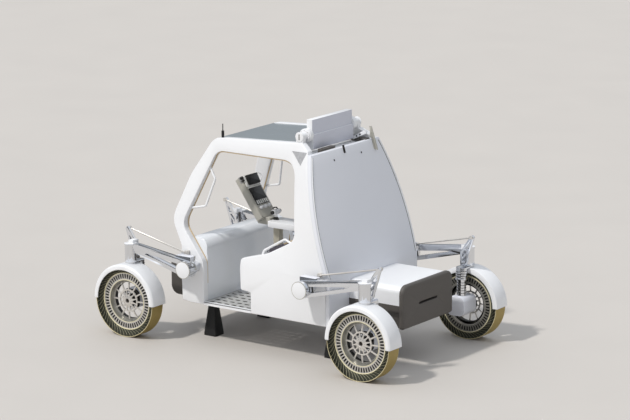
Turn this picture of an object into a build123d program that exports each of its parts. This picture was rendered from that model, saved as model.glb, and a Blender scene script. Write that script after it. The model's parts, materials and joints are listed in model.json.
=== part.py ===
"""Two-seat planetary rover with an open cab, four steered wheels and display stands.

Millimetres. +X is forward, +Y is left, +Z is up. The origin is on the ground,
midway between the axles and on the centre plane.
"""

import os
from math import atan2, cos, degrees, radians, sin

from build123d import *

os.makedirs("parts", exist_ok=True)

# Running gear
WHEELBASE = 3020
KINGPIN_Y = 955
WHEEL_Y = 994
WHEEL_RADIUS = 382
TYRE_WIDTH = 184
TYRE_BAND = 8
TYRE_LEAVES = 24
TYRE_LEAF = 5
TYRE_LEAF_LEAN = 24

# Metal wheel
RIM_RADIUS = 300
RIM_BARREL = 8
RIM_WIDTH = 120
RIM_FACE_Y = 45
RIM_FACE = 8
RIM_LIP_RADIUS = 214
BOWL_WALL = 7
BOWL_DEPTH = 42
RIM_SLOTS = 30
SLOT_WIDTH = 11
SLOT_INNER_RADIUS = 234
SLOT_OUTER_RADIUS = 282
WHEEL_SPOKES = 12
WHEEL_SPOKE = 15
SPOKE_THICKNESS = 12
STAR_RADIUS = 112
HUB_RADIUS = 62
HUB_BORE_RADIUS = 24

# Fender, and the steered leg that carries it and the wheel
FENDER_GAP = 12
FENDER_WALL = 10
FENDER_Y = 884
FENDER_WIDTH = 218
FENDER_FLANGE = 56
FENDER_EDGE = 16
FLANGE_RADIUS = 62
FLANGE = 13
LEG_Y = 823
LEG_RADIUS = 50
COLLAR_RADIUS = 60
COLLAR_HEIGHT = 105
LEG_RING = 12
HOUSING_LENGTH = 210
HOUSING_HEIGHT = 200
HOUSING_RISE = 15
HOUSING_INNER_Y = 706
HOUSING_OUTER_Y = 945
HOUSING_CORNER = 56
MOTOR_RADIUS = 95
MOTOR_END_Y = 982
AXLE_INSET = 3
SEAT_GAP = 0.3
PIN_GAP = 0.6

# Fixed upright above each fender
PIVOT_RADIUS = 64
PIVOT_TOP = 985
DAMPER_RADIUS = 20
DAMPER_Y = 1009
DAMPER_BOTTOM = 812
CAP_PLATE = 14
POST_WIDTH = 68
POST_THICKNESS = 28
POST_TOP_X = 1619
POST_TOP_Y = 860
POST_TOP_Z = 1128
POST_EYE_RADIUS = 24
POST_BASE_Z = 815
POST_LUG = 40
TOP_BLOCK = 44
TOP_BLOCK_LENGTH = 60
WINDOW_CORNER = 5
POST_CORNER = 8
POST_KNEE = 30

# Suspension arm and upper rod
ARM_PIVOT_X = 750
ARM_PIVOT_Z = 824
ARM_HUB_RADIUS = 92
ARM_CAP_RADIUS = 86
ARM_CAP = 5
ARM_HUB_Y = 1033
ARM_Y = 990
ARM_WIDTH = 75
ARM_SHAFT_RADIUS = 58
ARM_HEAD_X = 1470
ARM_HEAD_Z = 964
ARM_HEAD_HEIGHT = 92
ARM_UPPER_LIMB = 60
ARM_LOWER_LIMB = 44
ARM_FORK_X = 1285
FORK_CORNER = 4
ROOT_CORNER = 12
SADDLE_X = 805
SADDLE_LENGTH = 196
SADDLE_WIDTH = 90
SADDLE_TOP = 952
SADDLE_HEIGHT = 74
ROD_RADIUS = 9
ROD_X = 861
ROD_Y = 833
ROD_Z = 957
ROD_EYE_RADIUS = 20
ROD_EYE_WIDTH = 26

# Cab sides: upright below the crease, leaning inwards above it
SILL_Y = 805
SIDE_WALL = 80
CREASE_X = -963
CREASE_Z = 900
RAIL_Y = 525
BODY_BOTTOM = 416
FOOT_BOTTOM = 422
NOSE_X = 1180
FLARE_X = -330
FLARE_TOP_Y = 520
FLARE_RISE = 74
FLARE_MID_Y = 800
FLARE_MID_Z = 1480
REAR_WALL = 45
WALL_TOP_X = -602
WALL_DROP = 85
SKIN_CROWN = 1

# Floor, steps and dash
FLOOR_TOP = 446
FLOOR_PLATE = 30
STEP_REAR = 40
STEP_FRONT = 656
STEP_INNER_Y = 200
STEP_TOP = 450
STEP_PLATE = 10
NOSING = 34
DASH_REAR = 660
DASH_KNEE_Z = 900
DASH_BELLY = 22
DASH_BELLY_Z = 985
DASH_SWELL = 40
DASH_SWELL_Z = 1052
DASH_FRONT = 925
DASH_RIDGE_X = 774
DASH_RIDGE_Z = 1100
DASH_CORNER = 45
ROOF_PLATE = 36
ROOF_FRONT_X = 705
ROOF_CORNER = 38
ROOF_FRONT_Z = 2150
ROOF_REAR_X = -318
ROOF_RISE = 62
RAIL_RISE = 14
OPENING_DROP = 116
HEADER = 44

# Inside the cab
SEAT_LEDGE = 20
SEAT_BASE_REAR = -760
SEAT_BASE_INSET = 24
SEAT_BASE_TOP = 985
SEAT_Y = 350
SEAT_WIDTH = 430
CUSHION = 95
CUSHION_DIP = 10
SEAT_LENGTH = 430
SEAT_BACK_X = -400
SEAT_BACK_HEIGHT = 520
SEAT_BACK = 80
SEAT_BACK_LEAN = 12
SEAT_CORNER = 30
SEAT_EDGE = 20
TABLE_FRONT = 330
TABLE_REAR = -330
TABLE_HALF_WIDTH = 125
TABLE_TOP = 1232
TABLE = 62
TABLE_CORNER = 30
TABLE_POST_X = 272
TABLE_POST = 74

CONSOLE_X = 385
CONSOLE_Z = 1255
CONSOLE_HEIGHT = 506
CONSOLE_WIDTH = 260
CONSOLE_DEPTH = 80
CONSOLE_LEAN = 35
CONSOLE_CORNER = 14
CONSOLE_FOOT_X = 490
CONSOLE_FOOT_Z = 1180
CONSOLE_FOOT_WIDTH = 140
CONSOLE_HEEL = 20
CONSOLE_TOE_UP = 90
CONSOLE_TOE_DEPTH = 70
SCREEN_RECESS = 6
GRIP_X = 300
GRIP_STEM = 92
GRIP_STEM_RADIUS = 10
GRIP_RADIUS = 12
GRIP_LENGTH = 92
GRIP_BASE_RADIUS = 26
GRIP_BASE = 26

# Hand rails
RAIL_TUBE_RADIUS = 12
RAIL_BEND = 32

# Whip aerial on the left roof rail
WHIP_X = 600
WHIP_Y = 515
WHIP_HEIGHT = 145
WHIP_RADIUS = 5
WHIP_BASE_RADIUS = 15
WHIP_BASE = 70

# Equipment outside the cab
DECK_REAR = -1590
DECK_HALF_WIDTH = 455
DECK_TOP = 855
DECK_SIDE_BOTTOM = 590
DECK_WALL = 14
DECK_CORNER = 70
BAY_INSET = 55
END_PLATE = 50
END_OVERLAP = 7
END_BOTTOM = 411
END_RISE = 13
END_CORNER = 95
END_LOW_CORNER = 30
END_EDGE = 16
END_SLOT_LENGTH = 335
END_SLOT_HEIGHT = 24
END_SLOT_DEPTH = 90
FRONT_BAY_X = 1306
FRONT_BAY_HALF_WIDTH = 530
FRONT_BAY_BOTTOM = 395
FRONT_BAY_TOP = 798
FRONT_BAY_CHIN = 95
FRONT_BAY_BROW = 40

# Roof antenna
TILT_X = -391
TILT_RISE = 59
PANEL_HALF_WIDTH = 356
PANEL_REAR_X = -452
PANEL = 85
PANEL_HEIGHT = 306
PANEL_DROP = 149
PANEL_STEP = 16
DRUM_RADIUS = 72
DRUM_WIDTH = 56
DRUM_GAP = 7
TILT_PIN_RADIUS = 16
NECK_RADIUS = 43
BRACKET_INSET = 10
BRACKET_WIDTH = 50
SHELF_DROP = 114
SHELF = 20
SHELF_REAR_X = -560
FIN_Y = 500
FIN = 14
FIN_DROP = 113
FIN_RISE = 128
FIN_STANDOFF = 30
FIN_FOOT = 44
FIN_HEAD = 26

# Display stands
STAND_X = 785
STAND_Y = 470
STAND_FOOT = 150
STAND_HEAD = 60
STAND_FOOT_EDGE = 30

AXLE_X = WHEELBASE / 2
FENDER_INNER = WHEEL_RADIUS + FENDER_GAP
FENDER_OUTER = FENDER_INNER + FENDER_WALL
FENDER_TOP = WHEEL_RADIUS + FENDER_OUTER
FLANGE_BOTTOM = FENDER_TOP + SEAT_GAP
PIVOT_BOTTOM = FLANGE_BOTTOM + FLANGE + PIN_GAP
ROOF_REAR_Z = ROOF_FRONT_Z + ROOF_RISE
RAIL_Z = ROOF_REAR_Z + RAIL_RISE
FLARE_TOP_Z = RAIL_Z + FLARE_RISE
WALL_TOP_Z = ROOF_REAR_Z - WALL_DROP
TILT_Z = RAIL_Z + TILT_RISE
SHELF_TOP = ROOF_REAR_Z - SHELF_DROP
LEAN = (SILL_Y - RAIL_Y) / (RAIL_Z - CREASE_Z)

# columns: name, side of X, side of Y
CORNERS = [
    ("front_left", 1, 1),
    ("front_right", 1, -1),
    ("rear_left", -1, 1),
    ("rear_right", -1, -1),
]


def save(piece, name):
    """Label one finished piece and write its file."""
    piece.label = name
    export_step(piece, f"parts/{name}.step")


def place(piece, side_x, side_y):
    """A front left piece carried over to another corner by mirroring."""
    if side_x < 0:
        piece = piece.mirror(Plane.YZ)
    if side_y < 0:
        piece = piece.mirror(Plane.XZ)
    return piece


def save_corners(piece, name):
    """Write one piece for each of the four corners."""
    for corner, side_x, side_y in CORNERS:
        save(place(piece, side_x, side_y), f"{name}_{corner}")


def side_y_at(z):
    """Half width of the leaning cab side at height z."""
    return SILL_Y - LEAN * max(z - CREASE_Z, 0)


def height_at(first, second, x):
    """Height at x of the line through two points given as (x, z)."""
    return first[1] + (second[1] - first[1]) * (x - first[0]) / (second[0] - first[0])


def between(first, second, share):
    """Point at a share of the way from the first point to the second, each given as (x, z)."""
    return (first[0] + (second[0] - first[0]) * share, first[1] + (second[1] - first[1]) * share)


# Tyre: tread band on sprung leaves, whose roots sit on the metal wheel
with BuildPart() as tyre:
    wheel_plane = Plane(origin=(AXLE_X, WHEEL_Y, WHEEL_RADIUS), x_dir=(1, 0, 0), z_dir=(0, -1, 0))
    leaf_root = RIM_RADIUS + SEAT_GAP
    leaf_tip = WHEEL_RADIUS - TYRE_BAND / 2
    leaf_length = (leaf_tip - leaf_root) / cos(radians(TYRE_LEAF_LEAN)) + TYRE_BAND
    with BuildSketch(wheel_plane.offset(-RIM_FACE_Y)):
        with PolarLocations((leaf_root + leaf_tip) / 2, TYRE_LEAVES):
            Rectangle(leaf_length, TYRE_LEAF, rotation=TYRE_LEAF_LEAN)
        Circle(leaf_root, mode=Mode.SUBTRACT)
        Circle(leaf_tip, mode=Mode.INTERSECT)
    extrude(amount=RIM_WIDTH)
    with BuildSketch(wheel_plane.offset(-TYRE_WIDTH / 2)):
        Circle(WHEEL_RADIUS)
        Circle(WHEEL_RADIUS - TYRE_BAND, mode=Mode.SUBTRACT)
    extrude(amount=TYRE_WIDTH)
save_corners(tyre.part, "tyre")

# Wheel: barrel, slotted face, bowl, spokes and hub
with BuildPart() as rim:
    face_plane = wheel_plane.offset(-RIM_FACE_Y)
    with BuildSketch(face_plane):
        Circle(RIM_RADIUS)
        Circle(RIM_RADIUS - RIM_BARREL, mode=Mode.SUBTRACT)
    extrude(amount=RIM_WIDTH)
    with BuildSketch(face_plane):
        Circle(RIM_RADIUS)
        Circle(RIM_LIP_RADIUS - BOWL_WALL, mode=Mode.SUBTRACT)
        with PolarLocations((SLOT_INNER_RADIUS + SLOT_OUTER_RADIUS) / 2, RIM_SLOTS):
            Rectangle(SLOT_OUTER_RADIUS - SLOT_INNER_RADIUS, SLOT_WIDTH, mode=Mode.SUBTRACT)
    extrude(amount=RIM_FACE)
    with BuildSketch(face_plane):
        Circle(RIM_LIP_RADIUS)
        Circle(RIM_LIP_RADIUS - BOWL_WALL, mode=Mode.SUBTRACT)
    extrude(amount=BOWL_DEPTH)
    with BuildSketch(face_plane.offset(BOWL_DEPTH - SPOKE_THICKNESS)):
        with PolarLocations((RIM_LIP_RADIUS - BOWL_WALL / 2) / 2, WHEEL_SPOKES):
            Rectangle(RIM_LIP_RADIUS - BOWL_WALL / 2, WHEEL_SPOKE)
        Circle(STAR_RADIUS)
        Circle(STAR_RADIUS - WHEEL_SPOKE, mode=Mode.SUBTRACT)
        with PolarLocations(STAR_RADIUS / 2, WHEEL_SPOKES):
            Rectangle(STAR_RADIUS, WHEEL_SPOKE)
        Circle(HUB_RADIUS)
    extrude(amount=SPOKE_THICKNESS)
    with BuildSketch(face_plane):
        Circle(HUB_BORE_RADIUS)
    extrude(amount=BOWL_DEPTH, mode=Mode.SUBTRACT)
save_corners(rim.part, "rim")

# Fender: half ring over the tyre with a flange on each side
with BuildPart() as fender:
    fender_plane = Plane(origin=(AXLE_X, FENDER_Y, WHEEL_RADIUS), x_dir=(-1, 0, 0), z_dir=(0, 1, 0))
    with BuildSketch(fender_plane):
        Circle(FENDER_OUTER)
    extrude(amount=FENDER_WIDTH)
    chamfer(fender.edges().sort_by(Axis.Y)[-1], FENDER_EDGE)
    with BuildSketch(fender_plane.offset(FENDER_WALL)):
        Circle(FENDER_INNER)
    extrude(amount=FENDER_WIDTH - 2 * FENDER_WALL, mode=Mode.SUBTRACT)
    with BuildSketch(fender_plane):
        Circle(FENDER_OUTER - FENDER_FLANGE)
    extrude(amount=FENDER_WIDTH, mode=Mode.SUBTRACT)
    split(bisect_by=Plane.XY.offset(WHEEL_RADIUS), keep=Keep.TOP)
save_corners(fender.part, "fender")

# Steered knuckle: flange on the fender, leg down its inboard side, gear housing and hub motor
with BuildPart() as knuckle:
    with BuildSketch(Plane.XY.offset(FLANGE_BOTTOM)):
        with Locations((AXLE_X, KINGPIN_Y)):
            Circle(FLANGE_RADIUS)
        with Locations((AXLE_X, (KINGPIN_Y + LEG_Y) / 2)):
            Rectangle(2 * COLLAR_RADIUS, KINGPIN_Y - LEG_Y)
        with Locations((AXLE_X, LEG_Y)):
            Circle(COLLAR_RADIUS)
    extrude(amount=FLANGE)
    with BuildSketch(Plane.XY.offset(FLANGE_BOTTOM)):
        with Locations((AXLE_X, LEG_Y)):
            Circle(COLLAR_RADIUS)
    extrude(amount=-COLLAR_HEIGHT)
    with BuildSketch(Plane.XY.offset(FLANGE_BOTTOM)):
        with Locations((AXLE_X, LEG_Y)):
            Circle(LEG_RADIUS)
    extrude(amount=-(FLANGE_BOTTOM - WHEEL_RADIUS))
    with BuildSketch(Plane.XY.offset(FLANGE_BOTTOM - COLLAR_HEIGHT - LEG_RING)):
        with Locations((AXLE_X, LEG_Y)):
            Circle(COLLAR_RADIUS + LEG_RING / 2)
    extrude(amount=LEG_RING)
    with BuildSketch(Plane.XZ.offset(-HOUSING_OUTER_Y)):
        with Locations((AXLE_X, WHEEL_RADIUS + HOUSING_RISE)):
            RectangleRounded(HOUSING_LENGTH, HOUSING_HEIGHT, HOUSING_CORNER)
    extrude(amount=HOUSING_OUTER_Y - HOUSING_INNER_Y)
    with BuildSketch(Plane.XZ.offset(-MOTOR_END_Y)):
        with Locations((AXLE_X, WHEEL_RADIUS)):
            Circle(MOTOR_RADIUS)
    extrude(amount=MOTOR_END_Y - HOUSING_OUTER_Y)
    axle_end_y = WHEEL_Y + RIM_FACE_Y - BOWL_DEPTH + SPOKE_THICKNESS - AXLE_INSET
    with BuildSketch(Plane.XZ.offset(-axle_end_y)):
        with Locations((AXLE_X, WHEEL_RADIUS)):
            Circle(HUB_BORE_RADIUS - PIN_GAP)
    extrude(amount=axle_end_y - MOTOR_END_Y)
save_corners(knuckle.part, "knuckle")

# Fixed upright: pivot tube with a damper on its outboard side, cap plate and leaning post
post_base = (AXLE_X - POST_WIDTH / 2, AXLE_X + POST_WIDTH / 2)
post_outer_y = POST_TOP_Y + POST_THICKNESS / 2
# columns: height and share of the width of each corner of a window, as shares of the post
POST_WINDOWS = [
    ((0.14, 0.24), (0.14, 0.76), (0.40, 0.76)),
    ((0.24, 0.20), (0.50, 0.20), (0.50, 0.72)),
    ((0.58, 0.30), (0.58, 0.78), (0.82, 0.66)),
]
with BuildPart() as upright:
    with BuildSketch(Plane.XY.offset(PIVOT_BOTTOM)):
        with Locations((AXLE_X, KINGPIN_Y)):
            Circle(PIVOT_RADIUS)
    extrude(amount=PIVOT_TOP - PIVOT_BOTTOM)
    with BuildSketch(Plane.XY.offset(DAMPER_BOTTOM)):
        with Locations((AXLE_X, DAMPER_Y)):
            Circle(DAMPER_RADIUS)
    extrude(amount=PIVOT_TOP - DAMPER_BOTTOM)
    with BuildSketch(Plane.XY.offset(PIVOT_TOP)):
        with Locations((AXLE_X, KINGPIN_Y)):
            Circle(PIVOT_RADIUS + CAP_PLATE / 2)
        with Locations((AXLE_X, DAMPER_Y)):
            Circle(DAMPER_RADIUS + CAP_PLATE / 2)
    extrude(amount=CAP_PLATE)
    with BuildSketch(Plane.XZ.offset(-post_outer_y)):
        left_foot = (post_base[0], POST_BASE_Z)
        right_foot = (post_base[1], POST_BASE_Z)
        left_knee = (post_base[0], PIVOT_TOP - POST_WIDTH / 2)
        left_top = (POST_TOP_X - POST_EYE_RADIUS, POST_TOP_Z)
        right_top = (POST_TOP_X + POST_EYE_RADIUS, POST_TOP_Z)
        with BuildLine():
            FilletPolyline(
                left_foot,
                right_foot,
                right_top,
                (POST_TOP_X, POST_TOP_Z + POST_EYE_RADIUS),
                left_top,
                left_knee,
                radius=[POST_CORNER] * 5 + [POST_KNEE],
                close=True,
            )
        make_face()
        for window in POST_WINDOWS:
            corners = []
            for rise, across in window:
                z = POST_BASE_Z + rise * (POST_TOP_Z - POST_BASE_Z)
                right_x = right_foot[0] + rise * (right_top[0] - right_foot[0])
                lean_share = max(z - left_knee[1], 0) / (left_top[1] - left_knee[1])
                left_x = left_knee[0] + lean_share * (left_top[0] - left_knee[0])
                corners.append((left_x + across * (right_x - left_x), z))
            with BuildLine():
                FilletPolyline(*corners, radius=WINDOW_CORNER, close=True)
            make_face(mode=Mode.SUBTRACT)
    extrude(amount=POST_THICKNESS)
    with BuildSketch(Plane.XZ.offset(-KINGPIN_Y)):
        with Locations((AXLE_X, POST_BASE_Z + POST_LUG / 2)):
            Rectangle(POST_WIDTH, POST_LUG)
        with Locations((AXLE_X, PIVOT_TOP + TOP_BLOCK / 2)):
            Rectangle(TOP_BLOCK_LENGTH, TOP_BLOCK)
    extrude(amount=KINGPIN_Y - POST_TOP_Y)
save_corners(upright.part, "upright")

# Suspension arm: capped hub, and two limbs that meet before the head on the pivot tube
arm_top = ((ARM_PIVOT_X, ARM_PIVOT_Z + ARM_HUB_RADIUS), (ARM_HEAD_X, ARM_HEAD_Z + ARM_HEAD_HEIGHT / 2))
arm_low = ((ARM_PIVOT_X, ARM_PIVOT_Z - ARM_HUB_RADIUS), (ARM_HEAD_X, ARM_HEAD_Z - ARM_HEAD_HEIGHT / 2))
with BuildPart() as arm:
    with BuildSketch(Plane.XZ.offset(-ARM_Y)):
        with BuildLine():
            Polyline(*arm_top, *reversed(arm_low), close=True)
        make_face()
        root_x = ARM_PIVOT_X + ARM_HUB_RADIUS
        with BuildLine():
            FilletPolyline(
                (root_x, height_at(*arm_top, root_x) - ARM_UPPER_LIMB),
                (ARM_FORK_X, height_at(*arm_top, ARM_FORK_X) - ARM_UPPER_LIMB),
                (ARM_FORK_X, height_at(*arm_low, ARM_FORK_X) + ARM_LOWER_LIMB),
                (root_x, height_at(*arm_low, root_x) + ARM_LOWER_LIMB),
                radius=[ROOT_CORNER, FORK_CORNER, FORK_CORNER, ROOT_CORNER],
                close=True,
            )
        make_face(mode=Mode.SUBTRACT)
    extrude(amount=ARM_WIDTH)
    with BuildSketch(Plane.XZ.offset(-ARM_HUB_Y)):
        with Locations((ARM_PIVOT_X, ARM_PIVOT_Z)):
            Circle(ARM_HUB_RADIUS)
    extrude(amount=ARM_HUB_Y - ARM_Y + ARM_WIDTH)
    with BuildSketch(Plane.XZ.offset(-ARM_HUB_Y)):
        with Locations((ARM_PIVOT_X, ARM_PIVOT_Z)):
            Circle(ARM_CAP_RADIUS)
    extrude(amount=-ARM_CAP)
    with BuildSketch(Plane.XZ.offset(-ARM_Y)):
        with Locations((ARM_PIVOT_X, ARM_PIVOT_Z)):
            Circle(ARM_SHAFT_RADIUS)
    extrude(amount=ARM_Y - SILL_Y)
    with BuildSketch(Plane.XY.offset(SADDLE_TOP)):
        with Locations((SADDLE_X, ARM_Y - ARM_WIDTH)):
            Rectangle(SADDLE_LENGTH, SADDLE_WIDTH)
    extrude(amount=-SADDLE_HEIGHT)
    with BuildSketch(Plane.XY.offset(PIVOT_BOTTOM)):
        with Locations((AXLE_X, KINGPIN_Y)):
            Circle(PIVOT_RADIUS + SEAT_GAP)
    extrude(amount=PIVOT_TOP - PIVOT_BOTTOM, mode=Mode.SUBTRACT)
    with BuildSketch(Plane.XY.offset(PIVOT_TOP - SEAT_GAP)):
        with Locations((AXLE_X, KINGPIN_Y)):
            Circle(PIVOT_RADIUS + CAP_PLATE / 2 + SEAT_GAP)
    extrude(amount=2 * TOP_BLOCK, mode=Mode.SUBTRACT)
save_corners(arm.part, "arm")

# Cab side: leaning skin that flares towards the rear wall, cut to the door outline
slope = Vector(WALL_TOP_X - CREASE_X, 0, WALL_TOP_Z - CREASE_Z).normalized()
wall_normal = Vector(slope.Z, 0, -slope.X)
wall_outer = Plane(origin=(CREASE_X, 0, CREASE_Z), x_dir=(0, 1, 0), z_dir=wall_normal)
wall_inner = wall_outer.offset(REAR_WALL)

RAIL_REAR = (-440, RAIL_Z)
RAIL_FRONT = (697, ROOF_FRONT_Z + RAIL_RISE)
OPENING_FRONT_LOW = (992, 1236)
OPENING_FRONT_HIGH = (640, ROOF_FRONT_Z - OPENING_DROP)
OPENING_REAR_HIGH = (-378, ROOF_FRONT_Z - OPENING_DROP)
OPENING_REAR_LOW = (-498, 1255)
PANEL_TOP = (-150, 1072)

# columns: x, z, corner radius
SIDE_OUTLINE = [
    (CREASE_X + REAR_WALL, BODY_BOTTOM, 0),
    (CREASE_X + REAR_WALL, CREASE_Z, 0),
    (WALL_TOP_X - 20, WALL_TOP_Z - 13, 0),
    (*RAIL_REAR, 40),
    (*RAIL_FRONT, 170),
    (945, 1760, 500),
    (1128, 1278, 190),
    (958, 1008, 90),
    (940, 436, 16),
    (825, FOOT_BOTTOM, 10),
    (STEP_FRONT, FOOT_BOTTOM, 0),
    (STEP_FRONT, 880, 140),
    (*OPENING_FRONT_LOW, 150),
    (*OPENING_FRONT_HIGH, 130),
    (*OPENING_REAR_HIGH, 185),
    (*OPENING_REAR_LOW, 120),
    (*PANEL_TOP, 400),
    (176, 983, 42),
    (170, 652, 25),
    (STEP_REAR, 640, 12),
    (STEP_REAR, BODY_BOTTOM, 0),
]


lean_mid_z = (CREASE_Z + FLARE_TOP_Z) / 2
lean_section = (side_y_at(lean_mid_z) + SKIN_CROWN, lean_mid_z, side_y_at(FLARE_TOP_Z), 1)
# columns: plane, half width and height at the middle, half width at the top, stretch along the plane
SKIN_SECTIONS = [
    (Plane(origin=(NOSE_X, 0, CREASE_Z), x_dir=(0, 1, 0), z_dir=(1, 0, 0)), *lean_section),
    (Plane(origin=(FLARE_X, 0, CREASE_Z), x_dir=(0, 1, 0), z_dir=(1, 0, 0)), *lean_section),
    (wall_inner, FLARE_MID_Y, FLARE_MID_Z, FLARE_TOP_Y, 1 / slope.Z),
]

with BuildPart() as side_frame:
    for plane, mid_y, mid_z, top_y, stretch in SKIN_SECTIONS:
        with BuildSketch(plane):
            with BuildLine():
                middle = (mid_y, (mid_z - CREASE_Z) * stretch)
                top = (top_y, (FLARE_TOP_Z - CREASE_Z) * stretch)
                outer = [(SILL_Y, 0), middle, top]
                inner = [(y - SIDE_WALL, v) for y, v in outer]
                ThreePointArc(*outer)
                Line(outer[2], inner[2])
                ThreePointArc(*reversed(inner))
                Line(inner[0], outer[0])
            make_face()
    loft(ruled=True)
    with BuildSketch(Plane.XY.offset(BODY_BOTTOM)):
        with Locations(((CREASE_X + REAR_WALL + NOSE_X) / 2, SILL_Y - SIDE_WALL / 2)):
            Rectangle(NOSE_X - CREASE_X - REAR_WALL, SIDE_WALL)
    extrude(amount=CREASE_Z - BODY_BOTTOM)
    with BuildSketch(Plane.XZ.offset(-SILL_Y - SIDE_WALL)):
        with BuildLine():
            FilletPolyline(
                *[(x, z) for x, z, corner in SIDE_OUTLINE],
                radius=[corner for x, z, corner in SIDE_OUTLINE],
                close=True,
            )
        make_face()
    extrude(amount=SILL_Y, mode=Mode.INTERSECT)
    split(bisect_by=wall_inner, keep=Keep.TOP)
save(side_frame.part, "side_frame_left")
save(side_frame.part.mirror(Plane.XZ), "side_frame_right")

# Upper rods with their body clevises, one from each cab side to each post
rods = []
for corner, side_x, side_y in CORNERS:
    skin = place(side_frame.part, side_x, 1).moved(Location((0, SEAT_GAP, 0)))
    with BuildPart() as rod:
        body_end = Vector(ROD_X, ROD_Y, ROD_Z)
        post_face = post_outer_y - POST_THICKNESS - SEAT_GAP
        post_end = Vector(POST_TOP_X, post_face - ROD_EYE_WIDTH / 2, POST_TOP_Z)
        run = post_end - body_end
        with BuildSketch(Plane(origin=body_end, z_dir=run)):
            Circle(ROD_RADIUS)
        extrude(amount=run.length)
        for end in (body_end, post_end):
            with BuildSketch(Plane.XZ.offset(-end.Y - ROD_EYE_WIDTH / 2)):
                with Locations((end.X, end.Z)):
                    Circle(ROD_EYE_RADIUS)
            extrude(amount=ROD_EYE_WIDTH)
        with BuildSketch(Plane.XZ.offset(-ROD_Y)):
            with Locations((ROD_X, ROD_Z)):
                Rectangle(2 * ROD_EYE_RADIUS, 2 * ROD_EYE_RADIUS)
        extrude(amount=ROD_Y - SILL_Y + SIDE_WALL / 2)
        add(skin, mode=Mode.SUBTRACT)
    rods.append(place(rod.part, side_x, side_y))
save(Compound(children=rods), "upper_rods")

# Rear wall: slanted panel above the crease, upright panel below it
with BuildPart() as rear_wall:
    with BuildSketch(wall_outer):
        with BuildLine():
            foot = (SILL_Y, 0)
            middle = (FLARE_MID_Y, (FLARE_MID_Z - CREASE_Z) / slope.Z)
            top = (FLARE_TOP_Y, (FLARE_TOP_Z - CREASE_Z) / slope.Z)
            ThreePointArc(foot, middle, top)
            Line(top, (-top[0], top[1]))
            ThreePointArc((-top[0], top[1]), (-middle[0], middle[1]), (-foot[0], 0))
            Line((-foot[0], 0), foot)
        make_face()
    extrude(amount=REAR_WALL)
    split(bisect_by=Plane.XY.offset(WALL_TOP_Z), keep=Keep.BOTTOM)
    with BuildSketch(Plane.XY.offset(BODY_BOTTOM)):
        with Locations((CREASE_X + REAR_WALL / 2, 0)):
            Rectangle(REAR_WALL, 2 * SILL_Y)
    extrude(amount=CREASE_Z - BODY_BOTTOM)
save(rear_wall.part, "rear_wall")

# Floor plate, narrower between the steps
with BuildPart() as floor_pan:
    inner_y = SILL_Y - SIDE_WALL - SEAT_GAP
    with BuildSketch(Plane.XY.offset(FLOOR_TOP - FLOOR_PLATE)):
        with BuildLine():
            Polyline(
                (CREASE_X + REAR_WALL, -inner_y),
                (STEP_REAR, -inner_y),
                (STEP_REAR, -STEP_INNER_Y),
                (STEP_FRONT, -STEP_INNER_Y),
                (STEP_FRONT, -inner_y),
                (DASH_FRONT, -inner_y),
                (DASH_FRONT, inner_y),
                (STEP_FRONT, inner_y),
                (STEP_FRONT, STEP_INNER_Y),
                (STEP_REAR, STEP_INNER_Y),
                (STEP_REAR, inner_y),
                (CREASE_X + REAR_WALL, inner_y),
                close=True,
            )
        make_face()
    extrude(amount=FLOOR_PLATE)
save(floor_pan.part, "floor_pan")

# Step gratings: perforated plates with an outboard nosing
steps = []
for side_y in (1, -1):
    with BuildPart() as step:
        step_mid_x = (STEP_REAR + STEP_FRONT) / 2
        step_length = STEP_FRONT - STEP_REAR - 2 * SEAT_GAP
        step_width = SILL_Y - STEP_INNER_Y - SEAT_GAP
        step_mid_y = STEP_INNER_Y + SEAT_GAP + step_width / 2
        with BuildSketch(Plane.XY.offset(STEP_TOP)):
            with Locations((step_mid_x, step_mid_y)):
                Rectangle(step_length, step_width)
        extrude(amount=-STEP_PLATE)
        with BuildSketch(Plane.XY.offset(STEP_TOP)):
            with Locations((step_mid_x, SILL_Y - STEP_PLATE / 2)):
                Rectangle(step_length, STEP_PLATE)
            with Locations((step_mid_x, STEP_INNER_Y + SEAT_GAP + STEP_PLATE / 2)):
                Rectangle(step_length, STEP_PLATE)
        extrude(amount=-NOSING)
    steps.append(place(step.part, 1, side_y))
save(Compound(children=steps), "step_gratings")

# Dash bulkhead across the nose, with an upright knee face and a swollen top
with BuildPart() as dash:
    dash_bottom = FLOOR_TOP + SEAT_GAP
    with BuildSketch(Plane.XZ.offset(-SILL_Y)):
        with BuildLine():
            knee = (DASH_REAR, DASH_KNEE_Z)
            belly = (DASH_REAR + DASH_BELLY, DASH_BELLY_Z)
            ridge = (DASH_RIDGE_X, DASH_RIDGE_Z)
            Line((DASH_REAR, dash_bottom), knee)
            Line(knee, belly)
            ThreePointArc(belly, (DASH_REAR + DASH_SWELL, DASH_SWELL_Z), ridge)
            Line(ridge, (DASH_FRONT - DASH_CORNER, DASH_RIDGE_Z))
            brow = (DASH_FRONT, DASH_RIDGE_Z - DASH_CORNER)
            RadiusArc((DASH_FRONT - DASH_CORNER, DASH_RIDGE_Z), brow, DASH_CORNER)
            Line(brow, (DASH_FRONT, dash_bottom))
            Line((DASH_FRONT, dash_bottom), (DASH_REAR, dash_bottom))
        make_face()
    extrude(amount=2 * SILL_Y)
    with BuildSketch(Plane.YZ.offset(DASH_REAR)):
        with BuildLine():
            low = side_y_at(0) - SIDE_WALL - SEAT_GAP
            high = side_y_at(DASH_RIDGE_Z) - SIDE_WALL - 2 * SEAT_GAP
            right_half = [(low, 0), (low, CREASE_Z), (high, DASH_RIDGE_Z)]
            Polyline(*right_half, *[(-y, z) for y, z in reversed(right_half)], close=True)
        make_face()
    extrude(amount=DASH_FRONT - DASH_REAR, mode=Mode.INTERSECT)
save(dash.part, "dash_bulkhead")

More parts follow.
